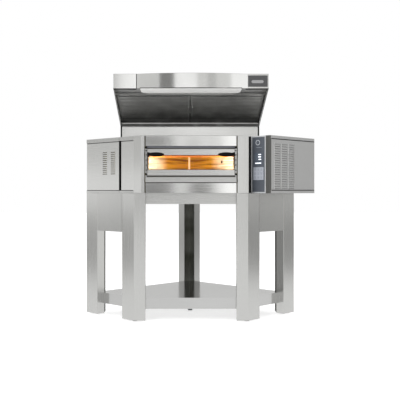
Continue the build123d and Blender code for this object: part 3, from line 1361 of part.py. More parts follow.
def blower_wheel():
    """The wheel: a back plate and hub on the shaft, a ring of blades and two end rings."""
    half = BLOWER_WIDTH / 2.0 - WHEEL_CLEARANCE
    shaft = Pos(0, 0, (half + MOTOR_LENGTH) / 2.0) * Cylinder(SHAFT_RADIUS, MOTOR_LENGTH + half)
    plate = Cylinder(WHEEL_RADIUS, SHEET)
    hub = Cylinder(SHAFT_RADIUS + HUB_WALL, HUB_LENGTH)
    ring = Cylinder(WHEEL_RADIUS, WHEEL_RING) - Cylinder(WHEEL_RADIUS - WHEEL_RING_DEPTH, 2 * WHEEL_RING)
    end = half - WHEEL_RING / 2
    wheel = shaft + plate + hub + Pos(0, 0, end) * ring + Pos(0, 0, -end) * ring
    for index in range(WHEEL_BLADES):
        blade = Rot(0, 0, WHEEL_ANGLE) * Box(WHEEL_CHORD, WHEEL_BLADE, 2 * half - 1.0)
        blade = Pos(WHEEL_RADIUS - WHEEL_RING_DEPTH / 2, 0, 0) * blade
        wheel += Rot(0, 0, 360.0 / WHEEL_BLADES * index) * blade
    return blower_place() * wheel


def steam_outlet():
    """The flat duct from the chamber's ceiling up into the riser."""
    top = ROOF_Z + BEND
    outer = flue_room(CHAMBER_TOP + SHEET, top, 0.0)
    duct = outer - flue_room(CHAMBER_TOP, top + 1, -FLUE_WALL)
    collar = flue_room(ROOF_Z, ROOF_Z + FLUE_WALL, BEND / 2)
    collar -= flue_room(ROOF_Z - 1, ROOF_Z + BEND, -FLUE_WALL)
    foot = flue_room(CHAMBER_TOP + SHEET, CHAMBER_TOP + 2 * SHEET, BEND)
    foot -= flue_room(CHAMBER_TOP, top, -FLUE_WALL)
    return duct + collar + foot


def insulation_lower():
    """The board under the chamber, which carries it on the base tray."""
    return prism(chamber_plan(CHAMBER_WALL), STAND_TOP + SHEET, FLOOR_TRAY)


def insulation_upper():
    """The blanket over the chamber, up to the roof."""
    slab = prism(chamber_plan(CHAMBER_WALL), CHAMBER_TOP + SHEET, ROOF_Z - SHEET - INSULATION_GAP)
    slab -= flue_room(CHAMBER_TOP, ROOF_Z, BEND + FIT)
    front = bar(-BODY_REACH, BODY_REACH, FRONT_Y, FRONT_Y + CHAMBER_FRONT + SHEET, CHAMBER_TOP, ROOF_Z)
    return slab - front


def insulation_sides():
    """The blanket round the chamber's four walls."""
    low = STAND_TOP + SHEET
    high = ROOF_Z - SHEET - INSULATION_GAP
    blanket = prism(chamber_plan(CHAMBER_WALL + INSULATION), low, high) - prism(
        chamber_plan(CHAMBER_WALL + FIT), low - 1, high + 1)
    blanket -= bar(-BODY_REACH, BODY_REACH, FRONT_Y, FRONT_Y + CHAMBER_FRONT + SHEET, low - 1, high + 1)
    outer = -CHAMBER_WALL - INSULATION - 2 * LAMP_DEPTH
    hole = lamp_hole(LAMP_NECK + 2.0, outer, 0)
    return blanket - hole - mirrored(hole) - probe_rod(2 * PROBE_RADIUS, outer, 0)


def group(*parts):
    """Several separate solids as one node."""
    solids = []
    for part in parts:
        solids += list(part.solids())
    return Compound(children=solids)


def both(part):
    """A piece and its mirror image as two separate solids."""
    return group(part, mirrored(part))


def heaters():
    """Upper and lower elements with the clips that hold them to the ceiling and the floor tray."""
    rows = (HEATER_FIRST, HEATER_COUNT, HEATER_STEP)
    high = CHAMBER_TOP - HEATER_DROP
    low = FLOOR_TRAY + SHEET + LOWER_HEATER_UP
    tubes = heating_elements(high, *rows) + heating_elements(low, *rows)
    clips = element_clips(high, high - 2 * HEATER_RADIUS, CHAMBER_TOP, *rows)
    clips += element_clips(low, FLOOR_TRAY + SHEET, low + 2 * HEATER_RADIUS, *rows)
    return Compound(children=tubes + clips)


def box_electronics():
    """What the control box holds: mounting plate, relays, terminals, fan frame and button contacts."""
    return group(electronics(), relays(), terminal_block(), fan_frame(), switch_block())


def filter_unit():
    """The right filter with its handle, in place on the slope."""
    return filter_frame_place() * group(grease_filter(), filter_handle())


def stand_nodes():
    """The stand's nodes."""
    front_right, side_right, back_leg = leg_lines()
    return {
        "front_legs": both(leg(front_right)),
        "side_legs": both(leg(side_right)),
        "back_leg": leg(back_leg),
        "levelling_feet": group(levelling_feet(), centre_foot()),
        "shelf": shelf(),
        "stand_rails": group(front_rail(), both(rear_rail())),
        "side_valances": both(side_valance()),
    }


def casing_nodes():
    """The nodes of the oven's casing and front."""
    return {
        "base_tray": base_tray(),
        "roof_panel": roof_panel(),
        "side_panels": group(both(side_panel()), right_rear_panel()),
        "gap_channel": mirrored(gap_channel()),
        "vent_cover": vent_cover(),
        "rear_walls": both(rear_panel()),
        "front_pillars": group(pillar_left(), pillar_right()),
        "top_fascia": fascia(TOP_FASCIA_BOTTOM, ROOF_Z - SHEET - SEAM),
        "lower_fascia": fascia(STAND_TOP + SHEET + SEAM, LOWER_FASCIA_TOP),
        "sill": sill(),
        "slot_baffle": slot_baffle(),
        "mouth_frame": mouth_frame(),
        "door_seal": door_seal(),
        "hinge_brackets": group(hinge_brackets(), hinge_bushes()),
    }


def door_nodes():
    """The door's nodes."""
    return {
        "door_upper_rail": door_rail(DOOR_TOP - DOOR_RAIL, DOOR_TOP),
        "door_lower_rail": door_rail(DOOR_BOTTOM, DOOR_BOTTOM + DOOR_RAIL - BUSH_WALL),
        "door_end_plates": door_end_plates(),
        "door_glass": door_glass(GLASS_INSET),
        "door_inner_glass": door_glass(INNER_GLASS_INSET),
        "door_handles": both(door_handle()),
    }


def chamber_nodes():
    """The baking chamber's nodes and what surrounds it."""
    socket = lamp_hole(LAMP_NECK, -CHAMBER_WALL - LAMP_DEPTH, 0)
    probe = probe_rod(PROBE_RADIUS, -LAMP_DEPTH, PROBE_LENGTH)
    return {
        "chamber_shell": group(chamber_walls(), chamber_ceiling()),
        "floor_tray": group(floor_tray(), stone_bearers()),
        "stone_deck": stone_deck(),
        "heating_elements": heaters(),
        "insulation": group(insulation_lower(), insulation_upper(), insulation_sides()),
        "lamp_caps": both(lamp_hole(LAMP_GLASS, 0, LAMP_CAP)),
        "chamber_fittings": group(both(socket), probe),
        "steam_outlet": steam_outlet(),
    }


def control_nodes():
    """The control box's nodes."""
    return {
        "box_shell": box_shell(),
        "box_vent_side": box_vent_side(),
        "corner_profile": corner_profile(),
        "bezel": bezel(),
        "control_panel": control_panel(),
        "display": face_field(DISPLAY_WIDTH, DISPLAY_HEIGHT, DISPLAY_TOP),
        "keypad": face_field(KEYPAD_WIDTH, KEYPAD_HEIGHT, KEYPAD_TOP),
        "ring_button": ring_button(),
        "electronics": box_electronics(),
        "fan_rotor": fan_rotor(),
        "cable_gland": cable_gland(),
    }


def hood_nodes():
    """The hood's nodes."""
    right = filter_unit()
    return {
        "front_band": front_band(),
        "hood_facets": group(facet_left(), facet_right()),
        "switch_plate": switch_plate(),
        "hood_switch": hood_switch(),
        "hood_shell": group(both(hood_side()), hood_roof(), hood_rear()),
        "riser": riser(),
        "lamp_shelf": group(lamp_shelf(), hood_switch_block()),
        "lamp_diffuser": lamp_diffuser(),
        "filter_right": right,
        "filter_left": mirrored(right),
        "filter_tracks": group(filter_channel(), grease_gutter()),
        "exhaust_collar": exhaust_collar(),
        "blower": group(blower_housing(), blower_motor()),
        "blower_wheel": blower_wheel(),
    }


def main():
    """Write one STEP file for each node."""
    os.makedirs("parts", exist_ok=True)
    for nodes in (stand_nodes, casing_nodes, door_nodes, chamber_nodes, control_nodes, hood_nodes):
        for name, part in nodes().items():
            export_step(part, os.path.join("parts", name + ".step"))


main()
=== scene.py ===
import math

import bmesh
import bpy
from mathutils import Matrix, Vector


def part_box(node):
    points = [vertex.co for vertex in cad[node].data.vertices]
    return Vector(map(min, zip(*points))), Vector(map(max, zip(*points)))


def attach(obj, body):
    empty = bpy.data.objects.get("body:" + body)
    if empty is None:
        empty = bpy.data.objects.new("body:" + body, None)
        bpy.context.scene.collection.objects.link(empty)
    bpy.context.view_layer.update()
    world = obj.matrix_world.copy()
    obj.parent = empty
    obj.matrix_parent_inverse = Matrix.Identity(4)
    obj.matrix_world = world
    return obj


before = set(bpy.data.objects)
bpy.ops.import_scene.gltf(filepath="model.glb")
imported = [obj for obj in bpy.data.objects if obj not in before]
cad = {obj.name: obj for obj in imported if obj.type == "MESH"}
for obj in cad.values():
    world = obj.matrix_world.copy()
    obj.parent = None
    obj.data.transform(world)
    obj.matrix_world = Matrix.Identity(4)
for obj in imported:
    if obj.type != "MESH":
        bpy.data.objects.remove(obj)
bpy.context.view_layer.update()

# Studio
# A pale seamless floor and soft light from large panels, as for a catalogue picture of kitchen equipment.
# Grey cards beside and behind the camera give the steel its soft dark and bright bands.
CAMERA_PLACE = (-0.083, -6.7255, 1.089)
LENS_MM = 66.15
SHIFT = (0.0475, -0.0225)
FLOOR_HEX = "#FFFFFF"
FLOOR_GLOW = 0.52
SKY_STRENGTH = 0.62
# Each lamp: name, place, the point it faces, its side in metres and its power in watts.
LAMPS = (
    ("key_lamp", (-3.2, -5.2, 3.6), (0.0, -0.4, 1.1), 3.0, 95.0),
    ("fill_lamp", (3.6, -4.2, 2.4), (0.2, -0.4, 1.2), 3.0, 34.0),
    ("top_lamp", (0.0, -1.4, 5.2), (0.0, -0.2, 1.0), 3.4, 60.0),
    ("rear_lamp", (0.6, 4.6, 3.6), (0.0, 0.4, 1.2), 3.0, 50.0),
)
# Each card: name, centre, width and height in metres, turn about the vertical, tone and strength.
CARDS = (
    ("card_fascia_left", (-0.58, -6.9, 1.92), (0.74, 0.27), 0.0, "#6C6C6B", 1.0),
    ("card_lower_left", (-0.56, -6.9, 1.06), (0.70, 0.56), 0.0, "#808080", 1.0),
    ("card_lower_middle", (0.25, -6.9, 1.05), (0.42, 0.5), 0.0, "#7E7E7D", 1.0),
    ("card_fascia_middle", (0.12, -6.9, 1.90), (0.26, 0.22), 0.0, "#C2C2C1", 1.0),
    ("card_fascia_right", (0.50, -6.9, 1.90), (0.30, 0.22), 0.0, "#DADAD9", 1.0),
    ("card_front_far_left", (-2.3, -6.9, 1.1), (2.4, 2.4), 0.0, "#F0F0EF", 1.0),
    ("card_window_right", (0.79, -7.0, 1.3), (0.30, 2.6), 0.0, "#FFFFFF", 1.45),
    ("card_front_right", (2.1, -7.0, 1.1), (2.3, 2.4), 0.0, "#DEDEDD", 1.0),
    ("card_band_left", (-1.77, -6.9, 3.2), (1.15, 1.7), 0.0, "#848483", 1.0),
    ("card_band_edge", (-3.4, -6.9, 3.2), (1.9, 1.7), 0.0, "#D4D4D3", 1.0),
    ("card_band_right", (1.75, -6.9, 3.2), (2.6, 1.7), 0.0, "#DADAD9", 1.0),
    ("card_band_right_dark", (1.5, -6.8, 3.2), (0.6, 1.7), 0.0, "#C2C2C1", 1.0),
    ("card_left_high", (-4.0, -1.0, 2.4), (4.8, 2.0), 90.0, "#D4D4D3", 1.0),
    ("card_left_low", (-4.0, -1.0, 0.0), (4.8, 1.6), 90.0, "#C2C2C1", 1.0),
    ("card_stand_left", (-0.55, -0.20, 0.52), (0.50, 0.85), 90.0, "#F6F6F5", 1.0),
    ("card_stand_right", (0.55, -0.20, 0.52), (0.50, 0.85), 90.0, "#9A9A99", 1.0),
    ("card_rear_low", (0.0, 5.5, 1.0), (8.0, 1.6), 0.0, "#D8D8D7", 1.0),
    ("card_right", (4.0, -0.8, 2.0), (5.2, 2.5), 90.0, "#CCCCCB", 1.0),
    ("card_right_low", (4.0, -0.8, 0.0), (5.2, 1.5), 90.0, "#ACACAB", 1.0),
)


def tone(code):
    """An sRGB hex colour as a linear colour with alpha."""
    parts = [int(code[i:i + 2], 16) / 255.0 for i in (1, 3, 5)]
    return [c / 12.92 if c <= 0.04045 else ((c + 0.055) / 1.055) ** 2.4 for c in parts] + [1.0]


def add_node(tree, kind, links=None, **settings):
    """One shader node: settings by attribute name, sockets by their name with underscores for spaces."""
    node = tree.nodes.new(kind)
    sockets = {socket.name.replace(" ", "_"): socket for socket in reversed(node.inputs)}
    for name, value in settings.items():
        if name in sockets:
            sockets[name].default_value = value
        else:
            setattr(node, name, value)
    for name, source in (links or {}).items():
        socket = node.inputs[name] if isinstance(name, int) else sockets[name]
        tree.links.new(source, socket)
    return node


def new_material(name):
    """An empty node material and its tree."""
    material = bpy.data.materials.new(name)
    material.use_nodes = True
    material.node_tree.nodes.clear()
    return material, material.node_tree


def show(tree, shader):
    """Put a shader on the material's output."""
    add_node(tree, "ShaderNodeOutputMaterial", {"Surface": shader})


world = bpy.data.worlds.new("studio")
bpy.context.scene.world = world
world.use_nodes = True
world.node_tree.nodes.clear()
sky = world.node_tree
path = add_node(sky, "ShaderNodeLightPath")
seen = add_node(sky, "ShaderNodeMath",
                {0: path.outputs["Is Camera Ray"], 1: path.outputs["Is Transmission Ray"]},
                operation="MAXIMUM")
seen = add_node(sky, "ShaderNodeMath", {0: seen.outputs[0], 1: path.outputs["Is Glossy Ray"]},
                operation="MAXIMUM")
soft = add_node(sky, "ShaderNodeBackground", Color=tone("#FFFFFF"), Strength=SKY_STRENGTH)
white = add_node(sky, "ShaderNodeBackground", Color=tone("#FFFFFF"), Strength=1.0)
both = add_node(sky, "ShaderNodeMixShader",
                {0: seen.outputs[0], 1: soft.outputs[0], 2: white.outputs[0]})
add_node(sky, "ShaderNodeOutputWorld", {"Surface": both.outputs[0]})

for name, place, target, size, power in LAMPS:
    light = bpy.data.lights.new(name, "AREA")
    light.size = size
    light.energy = power
    lamp = bpy.data.objects.new(name, light)
    bpy.context.scene.collection.objects.link(lamp)
    lamp.location = place
    lamp.rotation_euler = (Vector(target) - Vector(place)).to_track_quat("-Z", "Y").to_euler()
    lamp.visible_glossy = False

camera = bpy.data.cameras.new("camera")
camera.lens = LENS_MM
camera.sensor_width = 36.0
camera.shift_x, camera.shift_y = SHIFT
camera_object = bpy.data.objects.new("camera", camera)
bpy.context.scene.collection.objects.link(camera_object)
camera_object.location = CAMERA_PLACE
camera_object.rotation_euler = (math.radians(90.0), 0.0, 0.0)
bpy.context.scene.camera = camera_object
bpy.context.scene.view_settings.view_transform = "Standard"

bpy.ops.object.select_all(action="DESELECT")
bpy.ops.mesh.primitive_plane_add(size=60.0, location=(0.0, 0.0, 0.0))
floor = bpy.context.object
floor.name = "floor"
# Matt paper: white to the eye and in the steel, with only a soft shadow under the part.
floor_paper, tree = new_material("matt_paper_floor")
path = add_node(tree, "ShaderNodeLightPath")
paper = add_node(tree, "ShaderNodeBsdfPrincipled", Base_Color=tone(FLOOR_HEX), Roughness=0.9)
glow = add_node(tree, "ShaderNodeEmission", Color=tone(FLOOR_HEX), Strength=FLOOR_GLOW)
lit = add_node(tree, "ShaderNodeAddShader", {0: paper.outputs[0], 1: glow.outputs[0]})
white = add_node(tree, "ShaderNodeEmission", Color=tone(FLOOR_HEX), Strength=1.0)
mixed = add_node(tree, "ShaderNodeMixShader",
                 {0: path.outputs["Is Camera Ray"], 1: paper.outputs[0], 2: lit.outputs[0]})
mixed = add_node(tree, "ShaderNodeMixShader",
                 {0: path.outputs["Is Glossy Ray"], 1: mixed.outputs[0], 2: white.outputs[0]})
show(tree, mixed.outputs[0])
floor.data.materials.append(floor_paper)

for name, place, (width, height), turn, code, strength in CARDS:
    bpy.ops.object.select_all(action="DESELECT")
    bpy.ops.mesh.primitive_plane_add(size=1.0, location=place,
                                     rotation=(math.radians(90.0), 0.0, math.radians(turn)))
    card = bpy.context.object
    card.name = name
    card.scale = (width, height, 1.0)
    # Even tone without shading: only its reflection in the steel is ever seen.
    card_face, tree = new_material("studio_card_" + name)
    show(tree, add_node(tree, "ShaderNodeEmission", Color=tone(code), Strength=strength).outputs[0])
    card.data.materials.append(card_face)
    card.visible_camera = False
    card.visible_diffuse = False
    card.visible_shadow = False
    card.visible_transmission = False

# Stand
# Five corner posts, a shelf, rails and two deep side panels, folded from stainless sheet 2 to 2.5 mm thick,
# ground with a fine belt along their length and welded. The screw feet stand in rubber soles.

# The belt's real lines are about 0.1 mm wide. They are drawn coarser, since the picture couldn't show them.
GRAIN_MM = 1.6
GRAIN_LENGTH_MM = 260.0
GRAIN_RELIEF = 0.0002
PAINT_RELIEF = 0.0003
SOLE_RADIUS = 0.0205
SOLE_THICK = 0.0026
SOLE_FLATTEN = 0.8
FLOOR_TOUCH = 0.0005
FOOT_SPAN = 0.1
FOLD_SHADE_HALF = 0.045
FOLD_SHADE_FRONT = -0.1
FOLD_SHADE_DRIFT = (2.0, 2.0, 5.5)


def brushed_steel(name, light, dark, roughness, turn=(0.0, 0.0, 0.0),
                  grain=(GRAIN_LENGTH_MM, GRAIN_MM, GRAIN_MM), depth=0.04, patch_mm=900.0):
    """Stainless sheet with a belt grain: fine streaks in tone, gloss and height, and slow clouds."""
    material, tree = new_material(name)
    place = add_node(tree, "ShaderNodeTexCoord")
    turned = add_node(tree, "ShaderNodeMapping", {"Vector": place.outputs["Object"]},
                      Rotation=[math.radians(angle) for angle in turn])
    streaked = add_node(tree, "ShaderNodeMapping", {"Vector": turned.outputs[0]},
                        Scale=[1000.0 / size for size in grain])
    streaks = add_node(tree, "ShaderNodeTexNoise", {"Vector": streaked.outputs[0]}, Scale=1.0,
                       Detail=3.0, Roughness=0.6)
    clouds = add_node(tree, "ShaderNodeTexNoise", {"Vector": turned.outputs[0]},
                      Scale=1000.0 / patch_mm, Detail=1.5, Roughness=0.5)
    blend = add_node(tree, "ShaderNodeMath", {0: streaks.outputs["Fac"], 1: clouds.outputs["Fac"]},
                     operation="ADD")
    ramp = add_node(tree, "ShaderNodeMapRange", {"Value": blend.outputs[0]},
                    From_Min=0.75, From_Max=1.25)
    colour = add_node(tree, "ShaderNodeMix", {0: ramp.outputs[0]}, data_type="RGBA")
    colour.inputs[6].default_value = tone(dark)
    colour.inputs[7].default_value = tone(light)
    gloss = add_node(tree, "ShaderNodeMapRange", {"Value": streaks.outputs["Fac"]},
                     From_Min=0.25, From_Max=0.75, To_Min=roughness * 0.8, To_Max=roughness * 1.2)
    bump = add_node(tree, "ShaderNodeBump", {"Height": streaks.outputs["Fac"]}, Strength=depth,
                    Distance=GRAIN_RELIEF)
    steel = add_node(tree, "ShaderNodeBsdfPrincipled",
                     {"Base_Color": colour.outputs[2], "Roughness": gloss.outputs[0],
                      "Normal": bump.outputs[0]}, Metallic=1.0)
    show(tree, steel.outputs[0])
    return material


def painted(name, code, roughness, grit_mm=1.2, depth=0.1, vary=0.1, shine=0.5):
    """Paint, moulding, film or ceramic: one colour with fine grain in tone and height."""
    material, tree = new_material(name)
    place = add_node(tree, "ShaderNodeTexCoord")
    peel = add_node(tree, "ShaderNodeTexNoise", {"Vector": place.outputs["Object"]},
                    Scale=1000.0 / grit_mm, Detail=2.0)
    shade = add_node(tree, "ShaderNodeMapRange", {"Value": peel.outputs["Fac"]},
                     From_Min=0.3, From_Max=0.7)
    colour = add_node(tree, "ShaderNodeMix", {0: shade.outputs[0]}, data_type="RGBA")
    base = tone(code)
    colour.inputs[6].default_value = [c * (1.0 - vary) for c in base[:3]] + [1.0]
    colour.inputs[7].default_value = [min(1.0, c * (1.0 + vary)) for c in base[:3]] + [1.0]
    bump = add_node(tree, "ShaderNodeBump", {"Height": peel.outputs["Fac"]}, Strength=depth,
                    Distance=PAINT_RELIEF)
    paint = add_node(tree, "ShaderNodeBsdfPrincipled",
                     {"Base_Color": colour.outputs[2], "Normal": bump.outputs[0]},
                     Roughness=roughness, Specular_IOR_Level=shine)
    show(tree, paint.outputs[0])
    return material


def wear(material, *nodes):
    """Give CAD nodes this finish."""
    for name in nodes:
        slots = cad[name].data.materials
        slots.clear()
        slots.append(material)


def alone():
    """Deselect everything, so that the next primitive is the only thing that operators act on."""
    bpy.ops.object.select_all(action="DESELECT")


def settle(piece, finish, body="frame", smooth=35.0):
    """Bake a piece's place into its mesh, give it its finish and slot, and fix it to its body."""
    alone()
    piece.select_set(True)
    bpy.context.view_layer.objects.active = piece
    bpy.ops.object.transform_apply(location=True, rotation=True, scale=True)
    bpy.ops.object.shade_smooth_by_angle(angle=math.radians(smooth))
    piece.data.materials.clear()
    piece.data.materials.append(finish)
    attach(piece, body)


def spread(name, piece, places):
    """Copies of a piece, each at a place with its z axis along a direction, joined into one object."""
    copies = []
    for place, up in places:
        twin = piece.copy()
        twin.data = piece.data.copy()
        bpy.context.scene.collection.objects.link(twin)
        upward = Vector(up).to_track_quat("Z", "Y").to_matrix().to_4x4()
        twin.matrix_world = Matrix.Translation(place) @ upward
        copies.append(twin)
    bpy.data.objects.remove(piece)
    alone()
    for twin in copies:
        twin.select_set(True)
    bpy.context.view_layer.objects.active = copies[0]
    bpy.ops.object.join()
    copies[0].name = name
    return copies[0]


def foot_centres():
    """Where the feet stand: the middle of each patch of the feet's mesh that touches the floor."""
    patches = []
    for vertex in cad["levelling_feet"].data.vertices:
        if vertex.co.z < FLOOR_TOUCH:
            near = [patch for patch in patches if (patch[0] - vertex.co).length < FOOT_SPAN]
            if not near:
                near.append([])
                patches.append(near[0])
            near[0].append(vertex.co.copy())
    middles = []
    for patch in patches:
        xs = [point.x for point in patch]
        ys = [point.y for point in patch]
        middles.append(((min(xs) + max(xs)) / 2.0, (min(ys) + max(ys)) / 2.0))
    return middles


# Upright grain: the legs shade from pale to mid grey in tall soft bands.
leg_steel = brushed_steel("belt_ground_stainless_upright", "#CDCDCB", "#C8C8C6", 0.24,
                          grain=(GRAIN_MM, GRAIN_MM, GRAIN_LENGTH_MM))
wear(leg_steel, "front_legs", "side_legs")


def fold_shaded(name, light, patchy_tone, fold_shade_half, roughness):
    """Ground stainless with painted shade inside its fold: a dark stripe, patchy along its height."""
    material, tree = new_material(name)
    place = add_node(tree, "ShaderNodeTexCoord")
    parts = add_node(tree, "ShaderNodeSeparateXYZ", {0: place.outputs["Object"]})
    facing = add_node(tree, "ShaderNodeSeparateXYZ", {0: place.outputs["Normal"]})
    aside = add_node(tree, "ShaderNodeMath", {0: parts.outputs[0]}, operation="ABSOLUTE")
    near = add_node(tree, "ShaderNodeMath", {0: aside.outputs[0]}, operation="LESS_THAN")
    near.inputs[1].default_value = fold_shade_half
    front = add_node(tree, "ShaderNodeMath", {0: facing.outputs[1]}, operation="LESS_THAN")
    front.inputs[1].default_value = FOLD_SHADE_FRONT
    in_fold = add_node(tree, "ShaderNodeMath", {0: near.outputs[0], 1: front.outputs[0]},
                       operation="MULTIPLY")
    tall = add_node(tree, "ShaderNodeMapping", {"Vector": place.outputs["Object"]}, Scale=FOLD_SHADE_DRIFT)
    patches = add_node(tree, "ShaderNodeTexNoise", {"Vector": tall.outputs[0]}, Scale=1.0, Detail=1.0)
    shade_strength = add_node(tree, "ShaderNodeMapRange", {"Value": patches.outputs["Fac"]},
                    From_Min=0.40, From_Max=0.62, To_Min=1.0, To_Max=0.55)
    cover = add_node(tree, "ShaderNodeMath", {0: in_fold.outputs[0], 1: shade_strength.outputs[0]},
                     operation="MULTIPLY")
    colour = add_node(tree, "ShaderNodeMix", {0: cover.outputs[0]}, data_type="RGBA")
    colour.inputs[6].default_value = tone(light)
    colour.inputs[7].default_value = tone(patchy_tone)
    steel = add_node(tree, "ShaderNodeBsdfPrincipled", {"Base_Color": colour.outputs[2]}, Metallic=1.0,
                     Roughness=roughness)
    show(tree, steel.outputs[0])
    return material


# Painted shade: a dark stripe down the inside of the leg's fold, paler in patches.
back_steel = fold_shaded("filmed_stainless_back_leg", "#B4B4B2", "#787972", FOLD_SHADE_HALF, 0.3)
wear(back_steel, "back_leg")
# The glossiest sheet of the stand: it picks up the legs and the light floor.
shelf_steel = brushed_steel("satin_stainless_shelf", "#C8C8C7", "#BDBDBC", 0.16, depth=0.08)
wear(shelf_steel, "shelf")
# Level grain and a wide sheen give an even pale grey with faint clouds.
rail_steel = brushed_steel("belt_ground_stainless_level", "#D0D0CE", "#C3C3C1", 0.28)
wear(rail_steel, "stand_rails", "side_valances")
# Darker and duller than the sheet, so that the feet read as turned parts.
foot_steel = brushed_steel("turned_steel_feet", "#8F9194", "#77797C", 0.42)
wear(foot_steel, "levelling_feet")
# Black, with no highlight to speak of: rubber on the soles and the glass beads, painted shade on the lines
# along rims, edges and joints.
black_rubber_and_shade_lines = painted("moulded_black_rubber", "#161616", 0.75, grit_mm=0.8)

alone()
bpy.ops.mesh.primitive_torus_add(major_radius=SOLE_RADIUS, minor_radius=SOLE_THICK, major_segments=28,
                                 minor_segments=8)
sole = bpy.context.object
bpy.ops.object.mode_set(mode="EDIT")
bpy.ops.mesh.select_all(action="SELECT")
bpy.ops.transform.resize(value=(1.0, 1.0, SOLE_FLATTEN))
bpy.ops.object.mode_set(mode="OBJECT")
soles = spread("foot_soles", sole, [((x, y, SOLE_THICK), (0, 0, 1)) for x, y in foot_centres()])
settle(soles, black_rubber_and_shade_lines)

# Oven casing
# Base tray, roof, walls and front posts are folded stainless sheets, belt-ground. Pan-head screws hold the
# rear walls in the rims, and an angle bar holds the riser on the roof. Black lines along the walls are
# painted shade.
BODY_HALF = 0.415
BODY_REACH = 1.451
FRONT_Y = -0.625
STAND_TOP = 1.070
ROOF_TOP = 1.550
DIAGONAL = math.sqrt(0.5)
SCREW_RADIUS = 0.0045
SCREW_HEIGHT = 0.0026
# Shares of the screw's radius and height: the step of its head, its rise, the socket's rim and its depth.
HEAD_STEP = 0.35
HEAD_RISE = 0.3
SOCKET_RIM = 0.2
SOCKET_DEPTH = 0.7
REAR_SCREWS = 7
REAR_SCREW_END = 0.09
TRAY_SCREW_UP = 0.012
RIM_SCREW_INSET = 0.014
RISER_SCREWS = 9
RISER_SCREW_PITCH = 0.15
RISER_FOOT = 0.024
RISER_SCREW_IN = 0.55 * RISER_FOOT
RISER_BACK_Y = 0.171
RISER_HALF = 0.6445
ANGLE_THICK = 0.0025
ANGLE_EDGE = 0.0004
LEFT_YAW = 135.0
RIGHT_YAW = 45.0
WALL_RUN = 0.726
WALL_SHADE_HEIGHT = 0.0055
WALL_SHADE_PROUD = 0.0009
WALL_SHADE_DROP = 0.040
WALL_SHADE_RISE = 0.021
GAP_START = 0.2517
GAP_WIDTH = 0.0296
GAP_RETURN = 0.0205
GAP_END = GAP_START + GAP_WIDTH
# Where the painted shade lines run along each wall. On the right the control box stands in their place, so
# that only their last few millimetres are drawn, and the box hides them.
LEFT_SHADE_RUNS = ((0.10, GAP_START), (GAP_END, WALL_RUN))
RIGHT_SHADE_RUNS = ((WALL_RUN, 0.73),)
EDGE_SHADE_COVER = 0.0016
EDGE_SHADE_PROUD = 0.0004
EDGE_SHADE_LIP = 0.0006
EDGE_SHADE_END = 0.005


def block(name, low, high, edge=0.0006, rings=2):
    """A bar of stock between two corners: a cube shaped to size, its edges rounded."""
    alone()
    bpy.ops.mesh.primitive_cube_add(size=1.0, location=[(a + b) / 2.0 for a, b in zip(low, high)])
    piece = bpy.context.object
    piece.name = name
    piece.scale = [b - a for a, b in zip(low, high)]
    bpy.ops.object.transform_apply(location=False, rotation=False, scale=True)
    bpy.ops.object.mode_set(mode="EDIT")
    bpy.ops.mesh.select_all(action="SELECT")
    bpy.ops.mesh.bevel(offset=edge, segments=rings, affect="EDGES")
    bpy.ops.object.mode_set(mode="OBJECT")
    return piece


def placed(piece, corner, yaw):
    """Take a piece that is built along a wall at the origin to its place: turn it about z, then move it."""
    turn = Matrix.Rotation(math.radians(yaw), 4, "Z")
    piece.matrix_world = Matrix.Translation(corner) @ turn @ piece.matrix_world
    return piece


def turned_about(piece, pivot, degrees, axis="Z"):
    """Turn a piece about an axis through a point."""
    to_pivot = Matrix.Translation(pivot)
    turn = Matrix.Rotation(math.radians(degrees), 4, axis)
    piece.matrix_world = to_pivot @ turn @ to_pivot.inverted() @ piece.matrix_world
    return piece


def choose(piece, test):
    """In edit mode, select only the faces whose middle and normal pass a test."""
    shape = bmesh.from_edit_mesh(piece.data)
    for face in shape.faces:
        face.select = test(face.calc_center_median(), face.normal)
    bpy.context.tool_settings.mesh_select_mode = (False, False, True)
    shape.select_flush(True)
    bmesh.update_edit_mesh(piece.data)


def pan_screw():
    """A pan-head screw: a short cylinder whose top rises to a smaller face with a round socket."""
    alone()
    bpy.ops.mesh.primitive_cylinder_add(vertices=18, radius=SCREW_RADIUS, depth=SCREW_HEIGHT,
                                        location=(0.0, 0.0, SCREW_HEIGHT / 2.0))
    screw = bpy.context.object
    bpy.ops.object.transform_apply(location=True, rotation=False, scale=False)
    bpy.ops.object.mode_set(mode="EDIT")
    choose(screw, lambda middle, normal: normal.z > 0.9)
    bpy.ops.mesh.inset(thickness=SCREW_RADIUS * HEAD_STEP)
    bpy.ops.transform.translate(value=(0.0, 0.0, SCREW_HEIGHT * HEAD_RISE))
    bpy.ops.mesh.inset(thickness=SCREW_RADIUS * SOCKET_RIM)
    bpy.ops.mesh.extrude_region_move(
        TRANSFORM_OT_translate={"value": (0.0, 0.0, -SCREW_HEIGHT * SOCKET_DEPTH)})
    bpy.ops.object.mode_set(mode="OBJECT")
    return screw


# The smoothest sheet: it shows the grey cards as clear dark and bright bands.
front_steel = brushed_steel("belt_ground_stainless_front", "#E6E6E4", "#DADAD8", 0.11,
                            patch_mm=420.0, depth=0.08)
wear(front_steel, "top_fascia", "lower_fascia")
# Upright grain parts the posts from the level-ground sheets beside them.
post_steel = brushed_steel("belt_ground_stainless_posts", "#DADAD8", "#CECECC", 0.2,
                           grain=(GRAIN_MM, GRAIN_MM, GRAIN_LENGTH_MM))
wear(post_steel, "front_pillars")
wear(rail_steel, "sill")
# Grain along the slanting walls, and a soft even grey.
side_steel = brushed_steel("belt_ground_stainless_sides", "#DEDEDC", "#D4D4D2", 0.24,
                           turn=(0.0, 0.0, 45.0))
wear(side_steel, "side_panels", "vent_cover")
wear(rail_steel, "base_tray", "roof_panel", "rear_walls", "steam_outlet")
